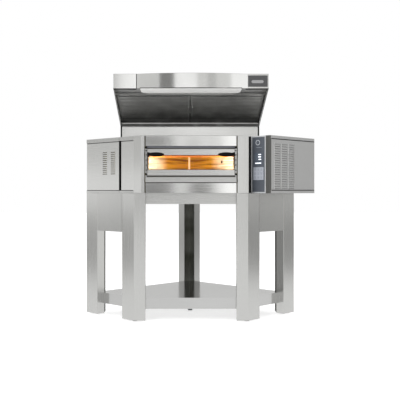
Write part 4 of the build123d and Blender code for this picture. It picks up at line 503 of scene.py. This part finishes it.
# Black with almost no shine, so what stands behind openings reads as dark hollows. In the gap channel, on the
# vent cover's edge and beside the right pillar the black is painted shade.
black_paint_and_recess_shade = painted("matt_black_powder_paint", "#0B0B0C", 0.7, shine=0.2)
wear(black_paint_and_recess_shade, "gap_channel")
# A cool dark line over the door.
slot_enamel = painted("slate_baffle_enamel", "#6E7077", 0.4, vary=0.04)
wear(slot_enamel, "slot_baffle")
# Small grey heads with a light rim.
zinc = brushed_steel("zinc_plated_screws", "#A9ABAD", "#8F9193", 0.35)

corner_x = (BODY_HALF + BODY_REACH) / 2.0
corner_y = FRONT_Y + (BODY_REACH - BODY_HALF) / 2.0
rear_length = (BODY_HALF + BODY_REACH) * DIAGONAL
screw_places = []
for index in range(REAR_SCREWS):
    along = REAR_SCREW_END + index * (rear_length - 2.0 * REAR_SCREW_END) / (REAR_SCREWS - 1)
    for side in (-1.0, 1.0):
        for z in (STAND_TOP + TRAY_SCREW_UP, ROOF_TOP - RIM_SCREW_INSET):
            place = (side * (corner_x - along * DIAGONAL), corner_y + along * DIAGONAL, z)
            screw_places.append((place, (side, 1.0, 0.0)))
for index in range(RISER_SCREWS):
    x = (index - (RISER_SCREWS - 1) / 2.0) * RISER_SCREW_PITCH
    screw_places.append(((x, RISER_BACK_Y + RISER_SCREW_IN, ROOF_TOP + ANGLE_THICK), (0, 0, 1)))
settle(spread("casing_screws", pan_screw(), screw_places), zinc)

left_corner = (-BODY_HALF, FRONT_Y, 0.0)
right_corner = (BODY_HALF, FRONT_Y, 0.0)
# Painted shade: black lines along the walls, under the roof's rim and over the tray's rim.
for side, corner, yaw, proud, runs in (
        ("left", left_corner, LEFT_YAW, WALL_SHADE_PROUD, LEFT_SHADE_RUNS),
        ("right", right_corner, RIGHT_YAW, -WALL_SHADE_PROUD, RIGHT_SHADE_RUNS)):
    low, high = sorted((0.0, proud))
    for number, (start, end) in enumerate(runs, start=1):
        for height, z in (("upper", ROOF_TOP - WALL_SHADE_DROP), ("lower", STAND_TOP + WALL_SHADE_RISE)):
            shade_line = block(f"wall_seal_{height}_{side}_{number}", (start, low, z),
                         (end, high, z + WALL_SHADE_HEIGHT), edge=0.0003)
            settle(placed(shade_line, corner, yaw), black_rubber_and_shade_lines)
# Painted shade: a black strip on the vent cover's edge widens the dark gap beside it.
edge_shade_strip = block("vent_cover_edge_seal",
                  (GAP_END - EDGE_SHADE_COVER, -GAP_RETURN, STAND_TOP + EDGE_SHADE_END),
                  (GAP_END + EDGE_SHADE_PROUD, EDGE_SHADE_LIP, ROOF_TOP - EDGE_SHADE_END), edge=0.0003)
settle(placed(edge_shade_strip, left_corner, LEFT_YAW), black_paint_and_recess_shade)

riser_angle = block("riser_angle_bar", (-RISER_HALF, RISER_BACK_Y, ROOF_TOP),
                    (RISER_HALF, RISER_BACK_Y + RISER_FOOT, ROOF_TOP + ANGLE_THICK))
bpy.ops.object.mode_set(mode="EDIT")
choose(riser_angle, lambda middle, normal: normal.z > 0.9)
bpy.ops.mesh.inset(thickness=ANGLE_EDGE)
bpy.ops.object.mode_set(mode="OBJECT")
upright = block("riser_angle_upright", (-RISER_HALF, RISER_BACK_Y, ROOF_TOP + ANGLE_THICK),
                (RISER_HALF, RISER_BACK_Y + ANGLE_THICK, ROOF_TOP + RISER_FOOT))
alone()
riser_angle.select_set(True)
upright.select_set(True)
bpy.context.view_layer.objects.active = riser_angle
bpy.ops.object.join()
settle(riser_angle, rail_steel)

# Door
# A full-width glass between two hollow steel rails, with black oval grips and cheeks that carry the pivots.
# Black silicone beads hold the pane in the rails, and moulded caps cover the pivots.
DOOR_GLASS_HALF = 0.361
DOOR_HALF = 0.366
HINGE_OUTER = 0.3777
PIVOT_Z = 1.228
CAP_HALF = 0.009
CAP_PROUD = 0.0045
CAP_SUNK = 0.0005
CAP_START = DOOR_HALF + 0.002
CAP_END = HINGE_OUTER + 0.001
UPPER_CAP = (1.441, 1.457)
HINGE_SCREW_HEIGHTS = (1.262, 1.304, 1.346, 1.388, 1.424)
BEAD = 0.003
BEAD_SUNK = 0.0002
# Coated glass throws back less light than bare glass would, so its index is set lower.
GLASS_IOR = 1.15

# As the fascias, a little duller, so its bands are softer.
door_steel = brushed_steel("belt_ground_stainless_door", "#D6D6D4", "#C4C4C2", 0.2,
                           patch_mm=500.0, depth=0.08)
wear(door_steel, "door_upper_rail", "door_lower_rail")
# Heat-dulled inner sheet, darker than the rails round it.
dark_steel = brushed_steel("dull_stainless_inner", "#8A8884", "#73716D", 0.45)
wear(dark_steel, "door_end_plates", "mouth_frame")
wear(post_steel, "hinge_brackets")
# Deep black with one thin soft highlight along each oval.
grip_plastic = painted("moulded_black_phenolic", "#070708", 0.4, grit_mm=2.0, shine=0.12)
wear(grip_plastic, "door_handles")
bracket_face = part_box("hinge_brackets")[0][1]
# Black heads with a dull glint.
black_oxide = painted("black_oxide_screws", "#141415", 0.35)
bracket_x = (DOOR_HALF + HINGE_OUTER) / 2.0
for side in (-1.0, 1.0):
    x0, x1 = sorted((side * CAP_START, side * CAP_END))
    for name, (low, high) in (("lower", (PIVOT_Z - CAP_HALF, PIVOT_Z + CAP_HALF)), ("upper", UPPER_CAP)):
        cap = block("hinge_cap_" + name + ("_right" if side > 0 else "_left"),
                    (x0, bracket_face - CAP_PROUD, low), (x1, bracket_face + CAP_SUNK, high),
                    edge=0.0015, rings=3)
        settle(cap, grip_plastic)
places = [((side * bracket_x, bracket_face, z), (0.0, -1.0, 0.0)) for side in (-1.0, 1.0)
          for z in HINGE_SCREW_HEIGHTS]
settle(spread("hinge_screws", pan_screw(), places), black_oxide)
glass_low, glass_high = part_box("door_glass")
for name, z in (("glass_bead_lower", glass_low[2]), ("glass_bead_upper", glass_high[2] - BEAD)):
    bead = block(name, (-DOOR_GLASS_HALF, glass_low[1] - BEAD, z),
                 (DOOR_GLASS_HALF, glass_low[1] + BEAD_SUNK, z + BEAD), edge=BEAD * 0.4, rings=3)
    settle(bead, black_rubber_and_shade_lines, "door")


def clear_glass(name, code, roughness=0.02):
    """Toughened float glass, coated so that it throws back little light."""
    material, tree = new_material(name)
    pane = add_node(tree, "ShaderNodeBsdfPrincipled", Base_Color=tone(code), Roughness=roughness,
                    Transmission_Weight=1.0, IOR=GLASS_IOR)
    show(tree, pane.outputs[0])
    return material


# Clear, and nearly free of reflections, so that the lit chamber shows.
door_pane = clear_glass("toughened_float_glass", "#FFFDF8")
wear(door_pane, "door_glass", "door_inner_glass")

# Chamber
# A pentagon room of stainless sheet, painted with lamp light: straw near the lamps, amber between them, brown
# streaks. It has a deck of fired clay slabs, tubular elements and a lamp in each side wall. A cover strip
# closes the joint in the rear corner.
STRAW = "#FFFFFA"
SMOKED = "#CDBF9F"
AMBER = "#F8D03A"
BROWN = "#A66C0C"
TINT_INNER = 0.20
TINT_OUTER = 0.30
TINT_DRIFT = (2.6, 2.6, 55.0)
CORNER_STRIP = 0.009
STRIP_OFF_BACK = (0.013, 0.010)
CHAMBER_BACK = 0.705
CHAMBER_FLOOR = 1.262
CHAMBER_CEILING = 1.436
LAMP_PLACE = (0.4378, -0.4812, 1.370)
LAMP_GLASS = 0.034
RIM_OFF_WALL = 0.002
RIM_THICK = 0.0025
PROBE_PLACE = (0.313, 0.375, 1.3695)
PROBE_HALF = (0.007, 0.012)
PROBE_DEEP = 0.008
PROBE_YAW = -45.0
CHAMBER_LIGHT_RADIUS = 0.03
CHAMBER_LIGHT_HEX = "#FFF8EE"
# Each light: name, place and power in watts.
CHAMBER_LIGHTS = (
    ("chamber_lamp_right", (0.30, -0.20, 1.35), 0.6),
    ("chamber_lamp_left", (-0.30, -0.20, 1.35), 0.6),
    ("chamber_glow_right", (0.33, 0.20, 1.36), 2.4),
    ("chamber_glow_left", (-0.33, 0.20, 1.36), 2.4),
)


def lamp_lit_sheet(name, roughness):
    """Stainless sheet with painted lamp light: straw near the lamps, amber in the middle, brown in streaks.
    """
    material, tree = new_material(name)
    place = add_node(tree, "ShaderNodeTexCoord")
    parts = add_node(tree, "ShaderNodeSeparateXYZ", {0: place.outputs["Object"]})
    aside = add_node(tree, "ShaderNodeMath", {0: parts.outputs[0]}, operation="ABSOLUTE")
    fade = add_node(tree, "ShaderNodeMapRange", {"Value": aside.outputs[0]},
                    interpolation_type="SMOOTHSTEP", From_Min=TINT_INNER, From_Max=TINT_OUTER)
    stretched = add_node(tree, "ShaderNodeMapping", {"Vector": place.outputs["Object"]}, Scale=TINT_DRIFT)
    drift = add_node(tree, "ShaderNodeTexNoise", {"Vector": stretched.outputs[0]}, Scale=1.0,
                     Detail=2.5, Roughness=0.55, Distortion=0.6)
    streak = add_node(tree, "ShaderNodeMapRange", {"Value": drift.outputs["Fac"]},
                      From_Min=0.42, From_Max=0.68)
    brown = add_node(tree, "ShaderNodeMix", {0: streak.outputs[0]}, data_type="RGBA")
    brown.inputs[6].default_value = tone(AMBER)
    brown.inputs[7].default_value = tone(BROWN)
    pale = add_node(tree, "ShaderNodeMix", {0: streak.outputs[0]}, data_type="RGBA")
    pale.inputs[6].default_value = tone(STRAW)
    pale.inputs[7].default_value = tone(SMOKED)
    colour = add_node(tree, "ShaderNodeMix", {0: fade.outputs[0], 6: brown.outputs[2], 7: pale.outputs[2]},
                      data_type="RGBA")
    steel = add_node(tree, "ShaderNodeBsdfPrincipled", {"Base_Color": colour.outputs[2]}, Metallic=0.55,
                     Roughness=roughness)
    show(tree, steel.outputs[0])
    return material


# Painted lamp light: straw at the lit ends, amber in the middle, with level brown streaks.
chamber_steel = lamp_lit_sheet("heat_tinted_stainless_chamber", 0.38)
wear(chamber_steel, "chamber_shell", "floor_tray", "chamber_fittings")
# Dull warm grey with a sandy grain, drawn coarser than the real one of 1 to 2 mm.
clay = painted("fired_clay_slab", "#CDB594", 0.9, grit_mm=5.0, depth=0.5)
wear(clay, "stone_deck")
# Dull pale felt.
wool = painted("mineral_wool", "#C9BE93", 1.0, grit_mm=6.0, depth=0.8)
wear(wool, "insulation")
# Dull grey weave.
braid = painted("braided_glass_fibre", "#8C877B", 0.9, grit_mm=3.0, depth=0.8)
wear(braid, "door_seal")


def glowing(name, code, strength):
    """A finish with a light of its own: for opal covers and lit rows, and as painted light on the tubes and
    the corner strip.
    """
    material, tree = new_material(name)
    cover = add_node(tree, "ShaderNodeBsdfPrincipled", Base_Color=tone(code), Roughness=0.35,
                     Emission_Color=tone(code), Emission_Strength=strength)
    show(tree, cover.outputs[0])
    return material


# The tubes glow a dull orange, as hot tubes do, turned up as painted light for the bright line along the
# chamber's top.
wear(glowing("hot_element_sheath", "#D98A3E", 0.3), "heating_elements")
# Opal discs, lit but not white.
wear(glowing("lit_opal_lamp_glass", "#A89C80", 0.1), "lamp_caps")
# The real strip throws back both lamps. A faint light of its own stands in for that: one bright upright line.
strip_steel = glowing("bright_stainless_corner_strip", "#FFE9C0", 0.35)
strip = block("chamber_corner_strip", (-CORNER_STRIP, CHAMBER_BACK - STRIP_OFF_BACK[0], CHAMBER_FLOOR),
              (CORNER_STRIP, CHAMBER_BACK - STRIP_OFF_BACK[1], CHAMBER_CEILING), edge=0.0008)
settle(strip, strip_steel)
probe = block("probe_socket", (-PROBE_HALF[0], -PROBE_DEEP, -PROBE_HALF[1]),
              (PROBE_HALF[0], 0.0, PROBE_HALF[1]), edge=0.002)
settle(placed(probe, PROBE_PLACE, PROBE_YAW), black_paint_and_recess_shade)
alone()
bpy.ops.mesh.primitive_torus_add(major_radius=LAMP_GLASS + RIM_OFF_WALL, minor_radius=RIM_THICK,
                                 major_segments=32, minor_segments=8)
ring = bpy.context.object
x, y, z = LAMP_PLACE
rims = spread("lamp_rims", ring, [((side * (x - RIM_OFF_WALL), y + RIM_OFF_WALL, z), (-side, 1.0, 0.0))
                                  for side in (-1.0, 1.0)])
settle(rims, zinc)
for name, place, power in CHAMBER_LIGHTS:
    light = bpy.data.lights.new(name, "POINT")
    light.energy = power
    light.shadow_soft_size = CHAMBER_LIGHT_RADIUS
    light.color = tone(CHAMBER_LIGHT_HEX)[:3]
    lamp = bpy.data.objects.new(name, light)
    bpy.context.scene.collection.objects.link(lamp)
    lamp.location = place
    lamp.visible_transmission = False
    lamp.visible_glossy = False

# Control box
# A housing of painted sheet with pressed louvres, a moulded corner post and an anodised aluminium frame
# round the dark panel. The display has rows of backlit bars, and the keys are printed on a pale film.
# Lengths in this section are in millimetres: along the control face, into the box and up from the stand.
MM = 0.001
PANEL_RUN = 130.0
BOX_TURN = -45.0
BOX_WIDE = 201.0
BOX_LONG = 632.0
BOX_SHADE_HEIGHT = 7.0
BOX_SHADE_PROUD = 0.9
BOX_SHADE_LOW = 22.0
BOX_SHADE_HIGH = 449.0
BOX_SHADE_START = 20.0
BOX_SHADE_SHORT = 2.0
BOX_SHADE_SUNK = 0.6
LOUVRE_STARTS = (61.0, 158.0, 255.0)
LOUVRE_WIDE = 76.0
LOUVRE_UP = 38.0
LOUVRE_ROWS = 20
LOUVRE_PITCH = 19.5
LOUVRE_TALL = 9.0
LOUVRE_RUN = (LOUVRE_ROWS - 1) * LOUVRE_PITCH + LOUVRE_TALL
CHEEK = 2.4
CHEEK_PROUD = 3.6 * 0.4
CHEEK_SUNK = 0.5
CHEEK_OVER = 2.0
RING_ALONG = 73.0
RING_UP = 423.0
RING_DISH = 17.0
DISH_THICK = 0.6
DISH_INTO = -0.15
DISH_RIM = 2.5
DISH_HOLLOW = 0.25
DISPLAY_FRONT = 1.25
DISPLAY_BACK = 1.7
# Rows of the display: start and end along the face, middle height, and height of the bar.
DISPLAY_ROWS = (
    (78.0, 106.0, 323.0, 9.0),
    (76.0, 106.0, 303.5, 9.0),
    (80.0, 107.0, 283.0, 9.0),
    (45.0, 108.0, 251.5, 9.0),
)
PANEL_LINE = (54.0, 112.0, 382.7, 2.2)
LINE_FRONT = 1.7
LINE_BACK = 2.1
KEY_COLUMNS = 3
KEY_ROWS = 3
KEY_SIDE = 19.0
KEY_PITCH = 33.0
KEY_MIDDLE = (78.35, 164.5)
KEY_FRONT = 1.1
KEY_BACK = 1.7
KEY_RIM = 2.0
FILLER_START = 95.0
FILLER_END = 129.0
FILLER_PROUD = 1.2
FILLER_GAP = 3.0


def on_box(piece):
    """Take a piece from the control face's millimetres to its place: x along it, y into the box, z up."""
    out = PANEL_RUN * MM * DIAGONAL
    piece.matrix_world = Matrix.Scale(MM, 4) @ piece.matrix_world
    return placed(piece, (BODY_HALF + out, FRONT_Y + out, STAND_TOP), BOX_TURN)


def face_bar(name, start, end, low, high, front, back, edge=0.3):
    """A flat bar on the control face, in its millimetres."""
    return on_box(block(name, (start, front, low), (end, back, high), edge=edge))


# Even mid grey with a satin sheen.
box_paint = painted("grey_powder_paint", "#A6A6A5", 0.42)
wear(box_paint, "box_shell", "box_vent_side")
# A dark warm edge between the panel and the louvred side.
corner_plastic = painted("moulded_corner_post", "#4E4E4B", 0.4)
wear(corner_plastic, "corner_profile")
# A pale thin line round the dark panel: the anodised frame's own pale colour, drawn as a plain finish without
# reflections so that it stays bright all round, a painted highlight.
bezel_metal = painted("satin_anodised_aluminium", "#C6C8CA", 0.35, vary=0.05)
wear(bezel_metal, "bezel")
# A pale ring on the dark field.
ring_plastic = painted("moulded_pale_ring", "#D6DAE0", 0.3, vary=0.03)
wear(ring_plastic, "ring_button")
# Bluish slate, matt and plain.
panel_film = painted("slate_panel_film", "#585D65", 0.38, vary=0.04)
wear(panel_film, "control_panel")
# The pale field under the keys, and the line above the display.
key_film = painted("pale_key_film", "#B2B7C0", 0.4, vary=0.03)
wear(key_film, "keypad")
# A window a little glossier than the film round it.
display_film = painted("dark_display_window", "#5C646F", 0.16, vary=0.04)
wear(display_film, "display")
wear(black_paint_and_recess_shade, "electronics", "fan_rotor", "cable_gland")

# Rows that shine white on the dark window.
display_light = glowing("lit_display_segments", "#F4F8FF", 0.8)
for number, (start, end, middle, height) in enumerate(DISPLAY_ROWS, start=1):
    bar = face_bar(f"display_row_{number}", start, end, middle - height / 2.0, middle + height / 2.0,
                   DISPLAY_FRONT, DISPLAY_BACK, edge=0.1)
    settle(bar, display_light)
start, end, middle, height = PANEL_LINE
line = face_bar("panel_line", start, end, middle - height / 2.0, middle + height / 2.0,
                LINE_FRONT, LINE_BACK, edge=0.08)
settle(line, key_film)

# Marks one shade darker than their field.
key_print = painted("printed_key_marks", "#A4A9B3", 0.45, vary=0.04)
for row in range(KEY_ROWS):
    for column in range(KEY_COLUMNS):
        x = KEY_MIDDLE[0] + (column - 1) * KEY_PITCH
        z = KEY_MIDDLE[1] + (row - 1) * KEY_PITCH
        key = face_bar(f"key_{row + 1}_{column + 1}", x - KEY_SIDE / 2.0, x + KEY_SIDE / 2.0,
                       z - KEY_SIDE / 2.0, z + KEY_SIDE / 2.0, KEY_FRONT, KEY_BACK, edge=0.25)
        bpy.ops.object.mode_set(mode="EDIT")
        choose(key, lambda middle, normal: normal.y < -0.9)
        bpy.ops.mesh.inset(thickness=KEY_RIM)
        bpy.ops.object.mode_set(mode="OBJECT")
        settle(key, key_print)

alone()
bpy.ops.mesh.primitive_cylinder_add(vertices=40, radius=RING_DISH, depth=DISH_THICK,
                                    location=(RING_ALONG, DISH_INTO, RING_UP),
                                    rotation=(math.radians(90.0), 0.0, 0.0))
dish = bpy.context.object
dish.name = "ring_button_dish"
bpy.ops.object.transform_apply(location=False, rotation=True, scale=False)
bpy.ops.object.mode_set(mode="EDIT")
choose(dish, lambda middle, normal: normal.y < -0.9)
bpy.ops.mesh.inset(thickness=DISH_RIM)
bpy.ops.transform.translate(value=(0.0, DISH_HOLLOW, 0.0))
bpy.ops.object.mode_set(mode="OBJECT")
settle(on_box(dish), panel_film, "ring_button")

# Painted shade: black lines along the louvred side, where its top and bottom rims meet it.
for name, low in (("box_seal_lower", BOX_SHADE_LOW), ("box_seal_upper", BOX_SHADE_HIGH)):
    shade_line = on_box(block(name, (BOX_WIDE - BOX_SHADE_SUNK, BOX_SHADE_START, low),
                        (BOX_WIDE + BOX_SHADE_PROUD, BOX_LONG - BOX_SHADE_SHORT, low + BOX_SHADE_HEIGHT), edge=0.4))
    settle(shade_line, black_rubber_and_shade_lines)
# Painted highlight: the front edges are paler than the box, catching the light beside each column of dark
# slots; the rear edges keep the box's grey.
cheek_highlight_paint = painted("bare_pressed_edges", "#D8D8D7", 0.3, vary=0.04)
for number, start in enumerate(LOUVRE_STARTS, start=1):
    for side, place, finish in (("front", start - CHEEK, cheek_highlight_paint),
                                ("rear", start + LOUVRE_WIDE, box_paint)):
        cheek = block(f"louvre_cheek_{side}_{number}",
                      (BOX_WIDE - CHEEK_SUNK, place, LOUVRE_UP - CHEEK_OVER),
                      (BOX_WIDE + CHEEK_PROUD, place + CHEEK, LOUVRE_UP + LOUVRE_RUN + CHEEK_OVER),
                      edge=0.3)
        settle(on_box(cheek), finish)
# Painted shade: a black strip where the side wall shows in the narrow gap between the right pillar and the
# box.
filler = block("pillar_filler", (FILLER_START * MM, -FILLER_PROUD * MM, STAND_TOP + FILLER_GAP * MM),
               (FILLER_END * MM, 0.0, ROOF_TOP - FILLER_GAP * MM), edge=0.0004)
settle(placed(filler, right_corner, RIGHT_YAW), black_paint_and_recess_shade)

# Hood
# A stainless canopy with a bulging front band, a lamp, two baffle filters and a duct riser behind. Black
# strips along the edges of the side walls and of the riser are painted shade.
HOOD_HALF = 0.6445
HOOD_BOTTOM = 1.941
SIDE_FRONT = -0.623
SIDE_LOW = (0.125, 1.690)
EDGING = 0.006
EDGING_IN = 0.012
EDGING_OUT = 0.0015
RISER_FRONT = 0.125
RISER_LOW = 1.551
RISER_HIGH = 1.690
RISER_EDGING_SUNK = 0.001
HEM_RADIUS = 0.0052
HEM_LENGTH = 2.0 * HOOD_HALF - 0.03
HEM_PLACE = (0.0, 0.0805, 1.716)
HEM_EDGE = 0.0008
DIFFUSER_HALF = 0.422
FACET_SHADE_START = DIFFUSER_HALF + 0.032
FACET_SHADE_END = HOOD_HALF - 0.003
FACET_SHADE_BACK = (0.002, 0.012)
FACET_SHADE_UP = (-0.009, 0.001)
LIP_SHADE_HEIGHT = 0.006
LIP_SHADE_PROUD = 0.0016
LIP_SHADE_SUNK = 0.0004
COLLAR_Y = -0.105
COLLAR_TOP = 2.122
COLLAR_OUTER = 0.0765
COLLAR_BEAD = 0.0022
COLLAR_BEAD_DOWN = 0.012
COLLAR_BEAD_TALL = 1.3
FILM_PATCHES = 9.0
FILM_VARY = 0.12
FILTER_SLOPE = (1.76, 1.915)
TRACK_SLOPE = (1.90, 1.93)

# Bright and smooth, so that the bulge gathers the cards into upright bands.
band_steel = brushed_steel("belt_ground_stainless_band", "#F0F0EE", "#E2E2E0", 0.11,
                           patch_mm=380.0, depth=0.08)
wear(band_steel, "front_band")
# The palest sheet of all, at both ends of the band.
facet_steel = brushed_steel("belt_ground_stainless_facets", "#FAFAF8", "#EEEEEC", 0.13)
wear(facet_steel, "hood_facets")
# A dull even grey for the sides, the roof and the rear.
hood_steel = brushed_steel("belt_ground_stainless_hood", "#CACAC8", "#BDBDBB", 0.34)
wear(hood_steel, "hood_shell", "exhaust_collar")
# Pale behind the dark filters, with soft clouds.
riser_steel = brushed_steel("belt_ground_stainless_riser", "#EAEAE8", "#D6D6D4", 0.2,
                            patch_mm=500.0)
wear(riser_steel, "riser")
# Mid grey and greasy, so it has no grain.
shelf_enamel = painted("grease_filmed_lamp_shelf", "#A2A2A1", 0.45)
wear(shelf_enamel, "lamp_shelf")
wear(rail_steel, "blower", "blower_wheel")
# A dark plain oblong at the right end of the band.
plate_film = painted("dark_switch_plate", "#4A4A4B", 0.4, vary=0.05)
wear(plate_film, "switch_plate")
# A pale bar that stands out from the plate.
pill = painted("pale_switch_bar", "#9A9A9B", 0.35, vary=0.04)
wear(pill, "hood_switch")


def slope_shaded_finish(name, upper, lower, low_z, high_z):
    """Pressed baffle sheet with painted shade: paler at the top of the slope and darker at its foot, with
    patches of grease film.
    """
    material, tree = new_material(name)
    place = add_node(tree, "ShaderNodeTexCoord")
    parts = add_node(tree, "ShaderNodeSeparateXYZ", {0: place.outputs["Object"]})
    height = add_node(tree, "ShaderNodeMapRange", {"Value": parts.outputs[2]},
                      From_Min=low_z, From_Max=high_z)
    patchy_tone = add_node(tree, "ShaderNodeTexNoise", {"Vector": place.outputs["Object"]},
                    Scale=FILM_PATCHES, Detail=2.0)
    shade = add_node(tree, "ShaderNodeMapRange", {"Value": patchy_tone.outputs["Fac"]},
                     From_Min=0.3, From_Max=0.7, To_Min=-FILM_VARY, To_Max=FILM_VARY)
    blend = add_node(tree, "ShaderNodeMath", {0: height.outputs[0], 1: shade.outputs[0]},
                     operation="ADD", use_clamp=True)
    colour = add_node(tree, "ShaderNodeMix", {0: blend.outputs[0]}, data_type="RGBA")
    colour.inputs[6].default_value = tone(lower)
    colour.inputs[7].default_value = tone(upper)
    steel = add_node(tree, "ShaderNodeBsdfPrincipled", {"Base_Color": colour.outputs[2]},
                     Metallic=0.85, Roughness=0.42)
    show(tree, steel.outputs[0])
    return material


# Painted shade: dark at the foot of the slope and lighter toward the lamp.
filter_steel = slope_shaded_finish("pressed_baffle_filter_sheet", "#FFFFFD", "#7A7A79", *FILTER_SLOPE)
wear(filter_steel, "filter_right", "filter_left")
# Painted shade on the tracks too: dark below the top track, pale on it.
wear(slope_shaded_finish("grease_darkened_tracks", "#F4F4F2", "#565655", *TRACK_SLOPE), "filter_tracks")
# An even pale glow behind the band's lower edge.
lamp_cover = glowing("lit_opal_acrylic_cover", "#F4F4F2", 0.25)
wear(lamp_cover, "lamp_diffuser")

run = SIDE_LOW[0] - SIDE_FRONT
drop = HOOD_BOTTOM - SIDE_LOW[1]
slope = math.degrees(math.atan2(-drop, run))
length = math.hypot(run, drop)
# Painted shade: black strips along the sloping lower edges of the side walls and along the riser's edges.
for side in (-1.0, 1.0):
    name = "right" if side > 0 else "left"
    x0, x1 = sorted((side * (HOOD_HALF - EDGING_IN), side * (HOOD_HALF + EDGING_OUT)))
    edging = block("side_edging_" + name, (x0, SIDE_FRONT, HOOD_BOTTOM),
                   (x1, SIDE_FRONT + length, HOOD_BOTTOM + EDGING), edge=0.0012, rings=3)
    settle(turned_about(edging, (0.0, SIDE_FRONT, HOOD_BOTTOM), slope, "X"), black_rubber_and_shade_lines)
    edging = block("riser_edging_" + name, (x0, RISER_FRONT - EDGING, RISER_LOW),
                   (x1, RISER_FRONT + RISER_EDGING_SUNK, RISER_HIGH), edge=0.0012, rings=3)
    settle(edging, black_rubber_and_shade_lines)
    # Painted shade: a black line under the lower edge of each facet.
    x0, x1 = sorted((side * FACET_SHADE_START, side * FACET_SHADE_END))
    shade_line = block("facet_seal_" + name,
                 (x0, FRONT_Y + FACET_SHADE_BACK[0], HOOD_BOTTOM + FACET_SHADE_UP[0]),
                 (x1, FRONT_Y + FACET_SHADE_BACK[1], HOOD_BOTTOM + FACET_SHADE_UP[1]), edge=0.0008)
    settle(shade_line, black_rubber_and_shade_lines)

# Painted shade: a black line along the lamp cover's top, under the band's lower lip.
cover_low, cover_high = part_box("lamp_diffuser")
lip_shade = block("diffuser_clamp",
              (-DIFFUSER_HALF, cover_low[1] - LIP_SHADE_PROUD, cover_high[2] - LIP_SHADE_HEIGHT),
              (DIFFUSER_HALF, cover_low[1] + LIP_SHADE_SUNK, cover_high[2]), edge=0.0005)
settle(lip_shade, black_rubber_and_shade_lines)

alone()
bpy.ops.mesh.primitive_cylinder_add(vertices=20, radius=HEM_RADIUS, depth=HEM_LENGTH,
                                    location=HEM_PLACE, rotation=(0.0, math.radians(90.0), 0.0))
hem = bpy.context.object
hem.name = "gutter_hem"
bpy.ops.object.mode_set(mode="EDIT")
choose(hem, lambda middle, normal: abs(normal.z) > 0.9)
bpy.ops.mesh.inset(thickness=HEM_EDGE)
bpy.ops.object.mode_set(mode="OBJECT")
# A plain pale colour stands in for the polished roll's shine: a painted highlight, one thin light line under
# the filters.
settle(hem, painted("polished_gutter_hem", "#ECECEA", 0.25))

alone()
bpy.ops.mesh.primitive_torus_add(major_radius=COLLAR_OUTER, minor_radius=COLLAR_BEAD,
                                 major_segments=48, minor_segments=8,
                                 location=(0.0, COLLAR_Y, COLLAR_TOP - COLLAR_BEAD_DOWN))
bead = bpy.context.object
bead.name = "collar_bead"
bpy.ops.object.mode_set(mode="EDIT")
bpy.ops.mesh.select_all(action="SELECT")
bpy.ops.transform.resize(value=(1.0, 1.0, COLLAR_BEAD_TALL))
bpy.ops.object.mode_set(mode="OBJECT")
settle(bead, hood_steel)
